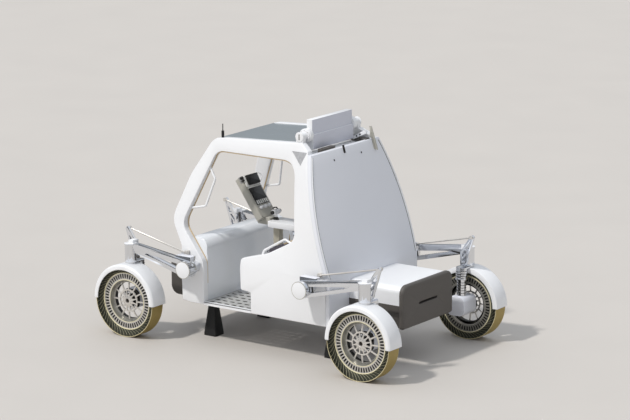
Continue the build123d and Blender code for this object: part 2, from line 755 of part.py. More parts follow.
# Roof plate between the side rails, with a header in front and a lowered shelf behind
with BuildPart() as roof:
    roof_slope = (ROOF_FRONT_Z - ROOF_REAR_Z) / (ROOF_FRONT_X - ROOF_REAR_X)
    with BuildSketch(Plane.XZ.offset(-SILL_Y)):
        with BuildLine():
            FilletPolyline(
                (ROOF_REAR_X, ROOF_REAR_Z),
                (ROOF_FRONT_X, ROOF_FRONT_Z),
                (ROOF_FRONT_X, ROOF_FRONT_Z - HEADER),
                (ROOF_FRONT_X - HEADER, ROOF_FRONT_Z - HEADER),
                (ROOF_FRONT_X - HEADER, ROOF_FRONT_Z - ROOF_PLATE - HEADER * roof_slope),
                (ROOF_REAR_X + SHELF, ROOF_REAR_Z - ROOF_PLATE + SHELF * roof_slope),
                (ROOF_REAR_X + SHELF, SHELF_TOP - SHELF),
                (SHELF_REAR_X, SHELF_TOP - SHELF),
                (SHELF_REAR_X, SHELF_TOP),
                (ROOF_REAR_X, SHELF_TOP),
                radius=[0, ROOF_CORNER] + [0] * 8,
                close=True,
            )
        make_face()
    extrude(amount=2 * SILL_Y)
    with BuildSketch(Plane.YZ.offset(SHELF_REAR_X)):
        with BuildLine():
            low_z = SHELF_TOP - 2 * SHELF
            low = side_y_at(low_z) - SIDE_WALL / 2
            high = side_y_at(FLARE_TOP_Z) - SIDE_WALL / 2
            Polyline((-low, low_z), (low, low_z), (high, FLARE_TOP_Z), (-high, FLARE_TOP_Z), close=True)
        make_face()
    extrude(amount=ROOF_FRONT_X - SHELF_REAR_X, mode=Mode.INTERSECT)
    with BuildSketch(Plane.XY.offset(SHELF_TOP)):
        with BuildLine():
            front_half = side_y_at(SHELF_TOP) - SIDE_WALL / 2
            rear_half = front_half + SIDE_WALL / 2
            Polyline(
                (ROOF_REAR_X, -front_half),
                (ROOF_REAR_X, front_half),
                (SHELF_REAR_X, rear_half),
                (SHELF_REAR_X, -rear_half),
                close=True,
            )
        make_face()
    extrude(amount=-SHELF)
    add(side_frame.part.moved(Location((0, -SEAT_GAP, 0))), mode=Mode.SUBTRACT)
    add(side_frame.part.mirror(Plane.XZ).moved(Location((0, SEAT_GAP, 0))), mode=Mode.SUBTRACT)
save(roof.part, "roof_panel")

# Seat base: a closed box across the cab behind the steps
with BuildPart() as seat_base:
    base_bottom = FLOOR_TOP + SEAT_GAP
    with BuildSketch(Plane.XY.offset(base_bottom)):
        with Locations(((CREASE_X + REAR_WALL + STEP_REAR) / 2, 0)):
            Rectangle(STEP_REAR - CREASE_X - REAR_WALL - 2 * SEAT_GAP, 2 * inner_y)
    extrude(amount=CREASE_Z - SEAT_LEDGE - base_bottom)
    with BuildSketch(Plane.XY.offset(base_bottom)):
        with Locations(((SEAT_BASE_REAR + STEP_REAR) / 2 - SEAT_GAP, 0)):
            Rectangle(STEP_REAR - SEAT_BASE_REAR, 2 * (inner_y - SEAT_BASE_INSET))
    extrude(amount=SEAT_BASE_TOP - base_bottom)
save(seat_base.part, "seat_base")

# Seats: cushion and leaning back, side by side
seats = []
for side_y in (1, -1):
    with BuildPart() as seat:
        seat_bottom = SEAT_BASE_TOP + SEAT_GAP
        with BuildSketch(Plane.XZ.offset(-SEAT_Y - SEAT_WIDTH / 2)):
            with BuildLine():
                lean = radians(SEAT_BACK_LEAN)
                back_x = SEAT_BACK_X - SEAT_BACK_HEIGHT * sin(lean)
                back_z = seat_bottom + SEAT_BACK_HEIGHT * cos(lean)
                FilletPolyline(
                    (SEAT_BACK_X - SEAT_BACK, seat_bottom),
                    (SEAT_BACK_X + SEAT_LENGTH, seat_bottom),
                    (SEAT_BACK_X + SEAT_LENGTH, seat_bottom + CUSHION),
                    (SEAT_BACK_X - CUSHION * sin(lean), seat_bottom + CUSHION - CUSHION_DIP),
                    (back_x, back_z),
                    (back_x - SEAT_BACK, back_z),
                    radius=[0, SEAT_EDGE] + [SEAT_CORNER] * 4,
                    close=True,
                )
            make_face()
        extrude(amount=SEAT_WIDTH)
    seats.append(place(seat.part, 1, side_y))
save(Compound(children=seats), "seats")

# Centre table on two posts between the seats
with BuildPart() as table:
    with BuildSketch(Plane.XY.offset(TABLE_TOP)):
        with Locations(((TABLE_FRONT + TABLE_REAR) / 2, 0)):
            RectangleRounded(TABLE_FRONT - TABLE_REAR, 2 * TABLE_HALF_WIDTH, TABLE_CORNER)
    extrude(amount=-TABLE)
    # columns: x of the post, height of what it stands on
    for post_x, post_foot in ((TABLE_POST_X, FLOOR_TOP), (TABLE_REAR + TABLE_POST, SEAT_BASE_TOP)):
        with BuildSketch(Plane.XY.offset(post_foot + SEAT_GAP)):
            with Locations((post_x, 0)):
                Rectangle(TABLE_POST, TABLE_POST)
        extrude(amount=TABLE_TOP - TABLE - post_foot - SEAT_GAP)
save(table.part, "centre_table")

# Display console: leaning housing with two recessed screens on a foot at the table's front
console_lean = radians(CONSOLE_LEAN)
console_up = Vector(sin(console_lean), 0, cos(console_lean))
console_back = Vector(cos(console_lean), 0, -sin(console_lean))
console_face = Plane(
    origin=(CONSOLE_X, 0, CONSOLE_Z), x_dir=(0, -1, 0), z_dir=(-console_back.X, 0, -console_back.Z)
)
# columns: distance up the face, height, width of each recess
SCREENS = [
    (400, 168, 214),
    (233, 138, 204),
]
with BuildPart() as console:
    with BuildSketch(console_face):
        with Locations((0, CONSOLE_HEIGHT / 2)):
            RectangleRounded(CONSOLE_WIDTH, CONSOLE_HEIGHT, CONSOLE_CORNER)
    extrude(amount=-CONSOLE_DEPTH)
    with BuildSketch(console_face):
        for up, height, width in SCREENS:
            with Locations((0, up)):
                Rectangle(width, height)
    extrude(amount=-SCREEN_RECESS, mode=Mode.SUBTRACT)
    with BuildSketch(Plane.XZ.offset(-CONSOLE_FOOT_WIDTH / 2)):
        with BuildLine():
            heel = console_face.origin + (console_up + console_back) * CONSOLE_HEEL
            toe = console_face.origin + console_up * CONSOLE_TOE_UP + console_back * CONSOLE_TOE_DEPTH
            Polyline(
                (TABLE_FRONT + SEAT_GAP, CONSOLE_FOOT_Z),
                (CONSOLE_FOOT_X, CONSOLE_FOOT_Z),
                (toe.X, toe.Z),
                (heel.X, heel.Z),
                (TABLE_FRONT + SEAT_GAP, CONSOLE_Z),
                close=True,
            )
        make_face()
    extrude(amount=CONSOLE_FOOT_WIDTH)
save(console.part, "display_console")

# Hand controller: stem and cross grip on the table
with BuildPart() as grip:
    grip_foot = TABLE_TOP + SEAT_GAP
    with BuildSketch(Plane.XY.offset(grip_foot)):
        with Locations((GRIP_X, 0)):
            Circle(GRIP_BASE_RADIUS)
    extrude(amount=GRIP_BASE)
    with BuildSketch(Plane.XY.offset(grip_foot)):
        with Locations((GRIP_X, 0)):
            Circle(GRIP_STEM_RADIUS)
    extrude(amount=GRIP_STEM)
    with BuildSketch(Plane.XZ.offset(-GRIP_LENGTH / 2)):
        with Locations((GRIP_X, grip_foot + GRIP_STEM)):
            Circle(GRIP_RADIUS)
    extrude(amount=GRIP_LENGTH)
save(grip.part, "hand_controller")

# Hand rails on the door posts and on the side panels, each end run into the cab side and cut there
# columns: ends of the opening's edge, and for each end and bend of the tube its share of the way
# along that edge and its distance ahead of the edge
HAND_RAILS = [
    (OPENING_FRONT_LOW, OPENING_FRONT_HIGH, [(0.79, 35), (0.622, -122), (0.259, -168), (0.2, 35)]),
    (PANEL_TOP, OPENING_REAR_LOW, [(-0.393, -47), (0.109, 104), (0.896, 132), (0.536, -169)]),
]
rails = []
for side_y in (1, -1):
    for first, second, bends in HAND_RAILS:
        points = []
        for share, ahead in bends:
            edge_x, z = between(first, second, share)
            points.append((edge_x + ahead, side_y_at(z) - SIDE_WALL / 2, z))
        with BuildPart() as rail:
            with BuildLine() as rail_line:
                FilletPolyline(*points, radius=RAIL_BEND)
            with BuildSketch(Plane(origin=rail_line.line @ 0, z_dir=rail_line.line % 0)):
                Circle(RAIL_TUBE_RADIUS)
            sweep(path=rail_line.line)
            add(side_frame.part, mode=Mode.SUBTRACT)
        free_tube = rail.part.solids().sort_by(SortBy.VOLUME)[-1]
        rails.append(place(free_tube, 1, side_y))
save(Compound(children=rails), "hand_rails")

# Rear deck: white cover over the equipment bay
with BuildPart() as deck:
    with BuildSketch(Plane.YZ.offset(DECK_REAR + SEAT_GAP)):
        with BuildLine():
            FilletPolyline(
                (-DECK_HALF_WIDTH, DECK_SIDE_BOTTOM),
                (DECK_HALF_WIDTH, DECK_SIDE_BOTTOM),
                (DECK_HALF_WIDTH, DECK_TOP),
                (-DECK_HALF_WIDTH, DECK_TOP),
                radius=[0, 0, DECK_CORNER, DECK_CORNER],
                close=True,
            )
        make_face()
        with BuildLine():
            inner_half = DECK_HALF_WIDTH - DECK_WALL
            FilletPolyline(
                (-inner_half, DECK_SIDE_BOTTOM),
                (inner_half, DECK_SIDE_BOTTOM),
                (inner_half, DECK_TOP - DECK_WALL),
                (-inner_half, DECK_TOP - DECK_WALL),
                radius=[0, 0, DECK_CORNER - DECK_WALL, DECK_CORNER - DECK_WALL],
                close=True,
            )
        make_face(mode=Mode.SUBTRACT)
    extrude(amount=CREASE_X - DECK_REAR - 2 * SEAT_GAP)
save(deck.part, "rear_deck")

# Rear bay: equipment block under the deck and the slotted end cover behind it
with BuildPart() as rear_bay:
    bay_top = DECK_TOP - DECK_WALL - SEAT_GAP
    bay_half = DECK_HALF_WIDTH - BAY_INSET
    end_half = DECK_HALF_WIDTH + END_OVERLAP
    end_top = DECK_TOP + END_RISE
    with BuildSketch(Plane.YZ.offset(DECK_REAR)):
        with Locations((0, (bay_top + END_BOTTOM) / 2)):
            Rectangle(2 * (bay_half - DECK_CORNER), bay_top - END_BOTTOM)
        with Locations((0, (bay_top - DECK_CORNER + END_BOTTOM) / 2)):
            Rectangle(2 * bay_half, bay_top - DECK_CORNER - END_BOTTOM)
    extrude(amount=CREASE_X - DECK_REAR - SEAT_GAP)
    with BuildSketch(Plane.YZ.offset(DECK_REAR - END_PLATE)):
        with BuildLine():
            FilletPolyline(
                (-end_half, END_BOTTOM),
                (end_half, END_BOTTOM),
                (end_half, end_top),
                (-end_half, end_top),
                radius=[END_LOW_CORNER, END_LOW_CORNER, END_CORNER, END_CORNER],
                close=True,
            )
        make_face()
    extrude(amount=END_PLATE)
    chamfer(rear_bay.faces().sort_by(Axis.X)[0].edges(), END_EDGE)
    with BuildSketch(Plane.YZ.offset(DECK_REAR - END_PLATE)):
        with Locations((0, (END_BOTTOM + end_top) / 2)):
            SlotOverall(END_SLOT_LENGTH, END_SLOT_HEIGHT)
    extrude(amount=END_SLOT_DEPTH, mode=Mode.SUBTRACT)
save(rear_bay.part, "rear_bay")

# Front bay: dark equipment block ahead of the dash
with BuildPart() as front_bay:
    with BuildSketch(Plane.XZ.offset(-FRONT_BAY_HALF_WIDTH)):
        with BuildLine():
            FilletPolyline(
                (DASH_FRONT + SEAT_GAP, FRONT_BAY_BOTTOM),
                (FRONT_BAY_X, FRONT_BAY_BOTTOM),
                (FRONT_BAY_X, FRONT_BAY_TOP),
                (DASH_FRONT + SEAT_GAP, FRONT_BAY_TOP),
                radius=[0, FRONT_BAY_CHIN, FRONT_BAY_BROW, 0],
                close=True,
            )
        make_face()
    extrude(amount=2 * FRONT_BAY_HALF_WIDTH)
save(front_bay.part, "front_bay")

# Antenna brackets: drums on the roof rails, and a fin behind the rear wall's right top corner
brackets = []
for side_y in (1, -1):
    with BuildPart() as bracket:
        drum_inner = PANEL_HALF_WIDTH + DRUM_GAP
        with BuildSketch(Plane.XZ.offset(BRACKET_INSET - RAIL_Y)):
            with BuildLine():
                foot_x = (TILT_X - NECK_RADIUS, TILT_X + NECK_RADIUS)
                foot = [(x, height_at(RAIL_REAR, RAIL_FRONT, x) + SEAT_GAP) for x in foot_x]
                Polyline(*foot, (foot_x[1], TILT_Z), (foot_x[0], TILT_Z), close=True)
            make_face()
        extrude(amount=BRACKET_WIDTH)
        with BuildSketch(Plane.XZ.offset(BRACKET_INSET - RAIL_Y)):
            with Locations((TILT_X, TILT_Z)):
                Circle(NECK_RADIUS)
        extrude(amount=RAIL_Y - BRACKET_INSET - drum_inner)
        with BuildSketch(Plane.XZ.offset(-drum_inner - DRUM_WIDTH)):
            with Locations((TILT_X, TILT_Z)):
                Circle(DRUM_RADIUS)
        extrude(amount=DRUM_WIDTH)
        with BuildSketch(Plane.XZ.offset(-drum_inner - DRUM_WIDTH / 2)):
            with Locations((TILT_X, TILT_Z)):
                Circle(TILT_PIN_RADIUS + PIN_GAP)
        extrude(amount=DRUM_WIDTH, mode=Mode.SUBTRACT)
    brackets.append(place(bracket.part, 1, side_y))
with BuildPart() as fin:
    with BuildSketch(Plane.XZ.offset(FIN_Y - FIN / 2)):
        with BuildLine():
            wall_face_x = WALL_TOP_X - FIN_DROP * slope.X / slope.Z - SEAT_GAP
            Polyline(
                (wall_face_x - FIN_STANDOFF, WALL_TOP_Z - FIN_DROP),
                (wall_face_x, WALL_TOP_Z - FIN_DROP),
                (WALL_TOP_X - SEAT_GAP, WALL_TOP_Z),
                (WALL_TOP_X + FIN_FOOT, WALL_TOP_Z + FIN_RISE),
                (WALL_TOP_X + FIN_FOOT - FIN_HEAD, WALL_TOP_Z + FIN_RISE),
                close=True,
            )
        make_face()
    extrude(amount=FIN)
brackets.append(fin.part)
save(Compound(children=brackets), "antenna_brackets")

# Antenna panel: two-step rear face, tilt pins at its sides
with BuildPart() as panel:
    panel_front_x = PANEL_REAR_X + PANEL
    panel_bottom = TILT_Z - PANEL_DROP
    panel_top = panel_bottom + PANEL_HEIGHT
    step_z = (panel_bottom + panel_top) / 2
    with BuildSketch(Plane.XZ.offset(-PANEL_HALF_WIDTH)):
        with BuildLine():
            Polyline(
                (PANEL_REAR_X, panel_bottom),
                (panel_front_x, panel_bottom),
                (panel_front_x, panel_top),
                (PANEL_REAR_X + PANEL_STEP, panel_top),
                (PANEL_REAR_X + PANEL_STEP, step_z),
                (PANEL_REAR_X, step_z),
                close=True,
            )
        make_face()
    extrude(amount=2 * PANEL_HALF_WIDTH)
    with BuildSketch(Plane.XZ.offset(-drum_inner - DRUM_WIDTH / 2 + PIN_GAP)):
        with Locations((TILT_X, TILT_Z)):
            Circle(TILT_PIN_RADIUS)
    extrude(amount=2 * (drum_inner + DRUM_WIDTH / 2 - PIN_GAP))
save(panel.part, "antenna_panel")

# Whip aerial on the left roof rail
with BuildPart() as whip:
    whip_foot = height_at(RAIL_REAR, RAIL_FRONT, WHIP_X - WHIP_BASE_RADIUS) + SEAT_GAP
    with BuildSketch(Plane.XY.offset(whip_foot)):
        with Locations((WHIP_X, WHIP_Y)):
            Circle(WHIP_BASE_RADIUS)
    extrude(amount=WHIP_BASE)
    with BuildSketch(Plane.XY.offset(whip_foot)):
        with Locations((WHIP_X, WHIP_Y)):
            Circle(WHIP_RADIUS)
    extrude(amount=WHIP_HEIGHT)
save(whip.part, "whip_aerial")

# Display stands under the floor: a square foot and a tapered column
stands = []
for corner, side_x, side_y in CORNERS:
    with BuildPart() as stand:
        column_height = FLOOR_TOP - FLOOR_PLATE - SEAT_GAP - STAND_FOOT_EDGE
        with BuildSketch(Plane.XY):
            with Locations((STAND_X, STAND_Y)):
                Rectangle(STAND_FOOT, STAND_FOOT)
        extrude(amount=STAND_FOOT_EDGE)
        with BuildSketch(Plane.XY.offset(STAND_FOOT_EDGE)):
            with Locations((STAND_X, STAND_Y)):
                Rectangle(STAND_FOOT, STAND_FOOT)
        extrude(amount=column_height, taper=degrees(atan2((STAND_FOOT - STAND_HEAD) / 2, column_height)))
    stands.append(place(stand.part, side_x, side_y))
save(Compound(children=stands), "display_stands")
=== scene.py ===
# %% [markdown]
# A two-seat planetary rover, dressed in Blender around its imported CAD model. The CAD model
# gives every place and size, and says what moves. This file adds what a CAD model leaves
# plain: finishes, rounded edges that catch the light, and the small parts that sit on the
# big ones. Camera and light come first, then the finishes, then a few tools for shapes, and
# then the vehicle itself, from the cab to the wheels.

# %% Load the frame
import json
import math

import bmesh
import bpy
from mathutils import Matrix, Vector
from mathutils.bvhtree import BVHTree

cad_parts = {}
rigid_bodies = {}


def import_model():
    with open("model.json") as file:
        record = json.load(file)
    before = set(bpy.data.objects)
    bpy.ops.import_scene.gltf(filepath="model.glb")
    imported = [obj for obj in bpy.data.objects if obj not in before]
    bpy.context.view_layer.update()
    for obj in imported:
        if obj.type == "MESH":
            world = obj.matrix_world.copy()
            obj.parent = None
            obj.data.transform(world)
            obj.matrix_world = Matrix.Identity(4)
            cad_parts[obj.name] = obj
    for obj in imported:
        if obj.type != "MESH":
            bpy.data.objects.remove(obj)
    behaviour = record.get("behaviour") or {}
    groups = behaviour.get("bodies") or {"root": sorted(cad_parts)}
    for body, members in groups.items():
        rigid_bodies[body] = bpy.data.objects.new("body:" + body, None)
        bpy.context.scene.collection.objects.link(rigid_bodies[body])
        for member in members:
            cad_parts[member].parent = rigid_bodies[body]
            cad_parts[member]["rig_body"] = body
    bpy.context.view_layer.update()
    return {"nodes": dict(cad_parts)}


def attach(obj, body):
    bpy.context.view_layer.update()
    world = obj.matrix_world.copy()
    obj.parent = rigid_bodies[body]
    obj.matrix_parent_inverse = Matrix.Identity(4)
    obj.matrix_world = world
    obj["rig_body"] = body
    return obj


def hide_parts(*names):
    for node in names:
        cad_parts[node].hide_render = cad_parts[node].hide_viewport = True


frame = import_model()
nodes = frame["nodes"]
print("CAD nodes:", len(nodes))

# %% [markdown]
# The rover was seen from far off, at its rear left, through a long lens. A camera could be
# turned by eye until the picture looks right, but a small error in its turn or rise then
# shows as a fault in every shape. So its place, turn, rise, roll and lens come from fitting
# the outlines of the wheels and of the body. The image is 630 pixels wide.

# %% Camera
PHOTO_WIDTH = 630
FOCAL_PIXELS = 2971
SENSOR = 36
CAMERA_AT = (-17.997, 24.617, 8.300)
CAMERA_TURN = 35.85
CAMERA_RISE = 12.80
CAMERA_ROLL = -0.28

turn, rise, roll = (math.radians(a) for a in (CAMERA_TURN, CAMERA_RISE, CAMERA_ROLL))
back = Vector((-math.sin(turn) * math.cos(rise), math.cos(turn) * math.cos(rise), math.sin(rise)))
level = (-back).cross(Vector((0, 0, 1))).normalized()
upward = level.cross(-back)
right = math.cos(roll) * level + math.sin(roll) * upward
top = -math.sin(roll) * level + math.cos(roll) * upward
camera_data = bpy.data.cameras.new("camera")
camera_data.sensor_width = SENSOR
camera_data.lens = FOCAL_PIXELS * SENSOR / PHOTO_WIDTH
camera = bpy.data.objects.new("camera", camera_data)
stand = Matrix.Translation(CAMERA_AT)
camera.matrix_world = stand @ Matrix((right, top, back)).transposed().to_4x4()
bpy.context.scene.collection.objects.link(camera)
bpy.context.scene.camera = camera
print("lens", round(camera_data.lens, 1), "mm")


# %% [markdown]
# Colours are written as sRGB hex values, as a paint chart gives them, and one function turns
# them into the linear values that a shader wants. A second function adds a node with its
# settings and links in one line. Without it each node takes five lines, and the tree's shape
# is lost among them.

# %% Colour and node helpers
def linear(hexa):
    """Linear RGBA of an sRGB hex colour."""
    values = [int(hexa[i : i + 2], 16) / 255 for i in (1, 3, 5)]
    lit = [v / 12.92 if v <= 0.04045 else ((v + 0.055) / 1.055) ** 2.4 for v in values]
    return (*lit, 1)


def add(tree, kind, settings=None, **links):
    """Add a node. settings are its properties. links are its inputs, each a socket or a value.

    An input is named with _ for a space, or numbered as _0, where names repeat.
    """
    node = tree.nodes.new(kind)
    for key, value in (settings or {}).items():
        setattr(node, key, value)
    for key, value in links.items():
        numbered = key[0] == "_" and key[1:].isdigit()
        socket = node.inputs[int(key[1:]) if numbered else key.replace("_", " ")]
        if isinstance(value, bpy.types.NodeSocket):
            tree.links.new(value, socket)
        else:
            socket.default_value = value
    return node


print("mid grey in linear light:", round(linear("#808080")[0], 3))


# %% [markdown]
# Every finish here is one paint or metal that is not quite even. Its tone drifts over some
# centimetres, and a fine grain breaks up the highlight. A painted image could carry both, but
# noise on Object coordinates needs no file, has its size in millimetres, and stays in place
# when a wheel turns. What each surface is made of was read from its colour and shine, so a
# few of the names below are guesses.

# %% A finish
def finish(name, colour, rough, metal=0.0, coat=0.0, tone=0.0, tone_mm=300, grain=0.0, grain_mm=2.0):
    """A material. tone is how far patches darken, and grain is the height of the bumps in mm."""
    material = bpy.data.materials.new(name)
    material.use_nodes = True
    tree = material.node_tree
    shader = tree.nodes["Principled BSDF"]
    full = linear(colour)
    shader.inputs["Base Color"].default_value = full
    shader.inputs["Roughness"].default_value = rough
    shader.inputs["Metallic"].default_value = metal
    shader.inputs["Coat Weight"].default_value = coat
    shader.inputs["Coat Roughness"].default_value = 0.05
    place = add(tree, "ShaderNodeTexCoord").outputs["Object"]
    if tone:
        patches = add(tree, "ShaderNodeTexNoise", Vector=place, Scale=1000 / tone_mm, Detail=3.0)
        share = patches.outputs["Fac"]
        dark = tuple(v * (1 - tone) for v in full[:3]) + (1,)
        mixed = add(tree, "ShaderNodeMix", {"data_type": "RGBA"}, _0=share, _6=dark, _7=full)
        tree.links.new(mixed.outputs[2], shader.inputs["Base Color"])
        dull = min(rough * 1.15, 1)
        worn = add(tree, "ShaderNodeMapRange", Value=share, _3=rough * 0.85, _4=dull)
        tree.links.new(worn.outputs[0], shader.inputs["Roughness"])
    if grain:
        noise = add(tree, "ShaderNodeTexNoise", Vector=place, Scale=1000 / grain_mm, Detail=2.0)
        bump = add(
            tree, "ShaderNodeBump",
            Strength=1.0, Distance=grain / 1000, Height=noise.outputs["Fac"],
        )
        tree.links.new(bump.outputs[0], shader.inputs["Normal"])
    return material


print("finishes carry tone patches and grain, both sized in mm")

# %% [markdown]
# The light is a plain studio. One large soft sun stands to the rover's left and slightly
# ahead of it, so that the side is bright and the rear wall falls into shade. The sky is dark
# round the horizon and bright overhead. An even sky would be simpler, but polished metal
# under it looks like grey paint: it needs something dark to mirror, which draws its edges.

# %% Light
SUN_FROM = Vector((0.38, 0.925, 1.25))
SUN_STRENGTH = 2.1
SUN_ANGLE = math.radians(4)
SUN_COLOUR = (1.0, 0.97, 0.93)
SKY_COLOUR = (0.90, 0.94, 1.0, 1)
SKY_LOW = 0.17
SKY_HIGH = 0.82
DARK_TO = 0.06
BRIGHT_FROM = 0.52

scene = bpy.context.scene
sun_data = bpy.data.lights.new("sun", "SUN")
sun_data.energy = SUN_STRENGTH
sun_data.angle = SUN_ANGLE
sun_data.color = SUN_COLOUR
sun = bpy.data.objects.new("sun", sun_data)
sun.rotation_euler = SUN_FROM.to_track_quat("Z", "Y").to_euler()
scene.collection.objects.link(sun)

world = bpy.data.worlds.new("sky")
world.use_nodes = True
sky_tree = world.node_tree
background = sky_tree.nodes["Background"]
background.inputs["Color"].default_value = SKY_COLOUR
heading = add(sky_tree, "ShaderNodeTexCoord").outputs["Generated"]
height = add(sky_tree, "ShaderNodeSeparateXYZ", Vector=heading).outputs["Z"]
sky = add(
    sky_tree, "ShaderNodeMapRange", {"interpolation_type": "SMOOTHSTEP"},
    Value=height, _1=DARK_TO, _2=BRIGHT_FROM, _3=SKY_LOW, _4=SKY_HIGH,
)
sky_tree.links.new(sky.outputs[0], background.inputs["Strength"])
scene.world = world
scene.view_settings.view_transform = "Standard"
print("sun", SUN_STRENGTH, "and sky", SKY_LOW, "to", SKY_HIGH)

# %% [markdown]
# The floor is one pale painted square, so wide that its far edge never shows. A plain
# backdrop could do without one, but the floor carries the shadow, and that is what makes the
# rover stand on something.

# %% Floor
FLOOR_HALF = 150
SQUARE = [(-1, -1, 0), (1, -1, 0), (1, 1, 0), (-1, 1, 0)]

floor_mesh = bpy.data.meshes.new("floor")
floor_mesh.from_pydata(SQUARE, [], [(0, 1, 2, 3)])
floor_mesh.transform(Matrix.Diagonal((FLOOR_HALF, FLOOR_HALF, 1, 1)))
floor_mesh.materials.append(finish("studio_floor", "#C9C4BE", 0.7, tone=0.05, tone_mm=900))
floor = bpy.data.objects.new("floor", floor_mesh)
scene.collection.objects.link(floor)
print("floor", 2 * FLOOR_HALF, "m wide")

# %% [markdown]
# The body is sheet and moulded parts under satin white paint. Paint could be one flat white,
# but large flat faces then look like paper. A thin clear coat gives them a soft highlight,
# and the paint's own ripple, a few hundredths of a millimetre high, keeps it from being a
# mirror's. The ripple is really 1 to 2 mm wide, and is drawn at 3 to 5 mm so that it shows.

# %% Pale paints
# Sprayed satin enamel: bright, with a soft wide highlight.
white_paint = finish(
    "satin_white_paint", "#EEEFF1", 0.38, coat=0.25, tone=0.03, tone_mm=500, grain=0.03, grain_mm=5
)
# The same enamel, bluer and duller: painted shade on the rear wall, which faces away from the sun.
wall_painted_shade = finish(
    "satin_white_painted_shade", "#E4E6EC", 0.42, coat=0.15, tone=0.03, tone_mm=500, grain=0.03, grain_mm=5
)
# Gelcoat comes smooth out of its mould: the dash mirrors the doorway in a long streak.
gloss_moulding = finish("gloss_white_gelcoat", "#E6E9ED", 0.14, coat=0.6, tone=0.03, tone_mm=400)
# Sprayed castings: a tight highlight on each small curve of the gear housings.
housing_paint = finish(
    "pale_grey_housing_paint", "#E4E6EE", 0.35, coat=0.2,
    tone=0.04, tone_mm=90, grain=0.02, grain_mm=3,
)
# Thick floor paint with grit in it: an even pale grey with hardly a highlight.
floor_paint = finish(
    "light_grey_floor_paint", "#C6C9CF", 0.5, tone=0.05, tone_mm=200, grain=0.05, grain_mm=3
)
# Pale lavender on the antenna's rear faces: painted shade, cooler than the white frame.
antenna_back_painted_shade = finish(
    "pale_lavender_painted_shade", "#CFD1DB", 0.45, tone=0.04, tone_mm=200, grain=0.03, grain_mm=4
)
print("pale paints, and the floor's:", len(bpy.data.materials))

# %% [markdown]
# The rest of the body is darker: powder coat, laminate, plastic, rubber, glass and cloth.
# They could share one dark grey and differ by colour alone. But it is the skin that tells
# them apart, and so each has its own roughness and grain. The pebbles of powder coat are
# really under 1 mm wide, and wool yarn is about 1 mm thick. Both are drawn at 2 mm or more.

# %% Dark and coloured finishes
# Sprayed metal at the console and the table: warm, dull, and darker than the white round it.
console_grey = finish(
    "warm_grey_console_paint", "#B1AFA6", 0.42, tone=0.05, tone_mm=80, grain=0.04, grain_mm=2
)
beige_paint = finish("beige_bracket_paint", "#BDB7A6", 0.5, tone=0.05, tone_mm=60)
# Powder coat is baked on as dust. Its pebbled skin takes the shine off a dark colour.
dark_case = finish(
    "dark_grey_powder_coat", "#57534F", 0.55, tone=0.10, tone_mm=250, grain=0.08, grain_mm=2
)
black_coat = finish("matt_black_powder_coat", "#131415", 0.6, grain=0.08, grain_mm=2)
# Laminate lies smooth under its lacquer, and mirrors the bright sky. Its seams are paler.
roof_grey = finish("grey_roof_laminate", "#8C959A", 0.32, coat=0.4, tone=0.05, tone_mm=300)
roof_seam = finish("roof_laminate_seam", "#989FA5", 0.4, tone=0.05, tone_mm=60)
# Moulded plastic keys: almost white, so that they stand out of the dark row behind them.
key_grey = finish("pale_grey_key_plastic", "#EDEDE9", 0.4, tone=0.04, tone_mm=15)
# Screen glass with a matt film: black, with only a veil of sky on it.
screen_black = finish("black_screen_glass", "#08090B", 0.30, tone=0.1, tone_mm=60)
# Extruded rubber is dull. The tan one draws the door's outline, and the black one a joint.
seal_tan = finish("tan_edge_seal", "#C9B28C", 0.6, tone=0.05, tone_mm=60)
# The black rubber also stands as painted shade in the step's holes and the antenna's slot and holes.
rubber_and_painted_shade = finish("dark_rubber_and_painted_shade", "#1B1A19", 0.65, tone=0.08, tone_mm=30, grain=0.05)
# Only an edge of the seats shows, so woven wool is a guess. Its pile gives no highlight.
seat_cloth = finish(
    "dark_plum_seat_cloth", "#4B4750", 0.9, tone=0.12, tone_mm=40, grain=0.6, grain_mm=2.5
)
print("with the dark and coloured ones:", len(bpy.data.materials))

# %% [markdown]
# The metals differ by how their surface was made, and one shiny metal for all would lose
# that. Polishing leaves a mirror. Machining and blasting leave lines and pits that blur it.
# The flared corners' grey plate has a patchy tone that is painted reflection. The lines and
# pits are really about 0.1 mm wide, and are drawn at 2 mm or more so that they show.

# %% Bright metals
# Polished aluminium: a mirror with sharp dark and bright bands, which draw the arms' form.
polished = finish(
    "polished_aluminium", "#E4E6EA", 0.10, metal=1.0, tone=0.05, tone_mm=80, grain=0.01, grain_mm=3
)
# Machined aluminium: a blurred mirror, so that a bolt head is one soft grey glint.
satin_metal = finish(
    "satin_machined_aluminium", "#B4B4B4", 0.34, metal=1.0,
    tone=0.10, tone_mm=60, grain=0.02, grain_mm=2,
)
# A grey plate on the flared corners: its patchy tone paints the shaded reflection there.
flare_painted_reflection = finish(
    "grey_flare_painted_reflection", "#DADBDE", 0.30, metal=0.35,
    tone=0.45, tone_mm=30, grain=0.3, grain_mm=14,
)
# Alloy plate, left dull: pale grey, with only a trace of metal in its highlight.
grating_metal = finish(
    "grey_step_alloy", "#C6C6C4", 0.42, metal=0.25, tone=0.08, tone_mm=60, grain=0.04, grain_mm=2
)
print("with the bright metals:", len(bpy.data.materials))

# %% [markdown]
# The wheels look like bead-blasted castings, and their tread and leaves like sheet metal. The
# gold is taken to be anodising. The leaves' dark olive is partly taken to be what heat leaves
# on spring steel, and partly paints the shade inside the tread. Both colours are thin skins
# over the metal. A layered shader could draw the skin and the metal under it, but one that is
# only part metallic looks the same from a few metres away.

# %% Metals of the wheels
# Blasted aluminium glows evenly where the light falls. The bowl's darker copy is painted shade.
wheel_metal = finish(
    "bead_blasted_aluminium", "#D3D0CB", 0.32, metal=0.65, tone=0.10, tone_mm=60, grain=0.03
)
bowl_painted_shade = finish(
    "grey_bowl_painted_shade", "#A5A39B", 0.30, metal=0.75, tone=0.12, tone_mm=40, grain=0.03
)
# The spokes were dressed after casting, and are the brightest part of the wheel.
spoke_metal = finish("bright_cast_aluminium", "#DDD9D3", 0.32, metal=0.6, tone=0.06, tone_mm=60)
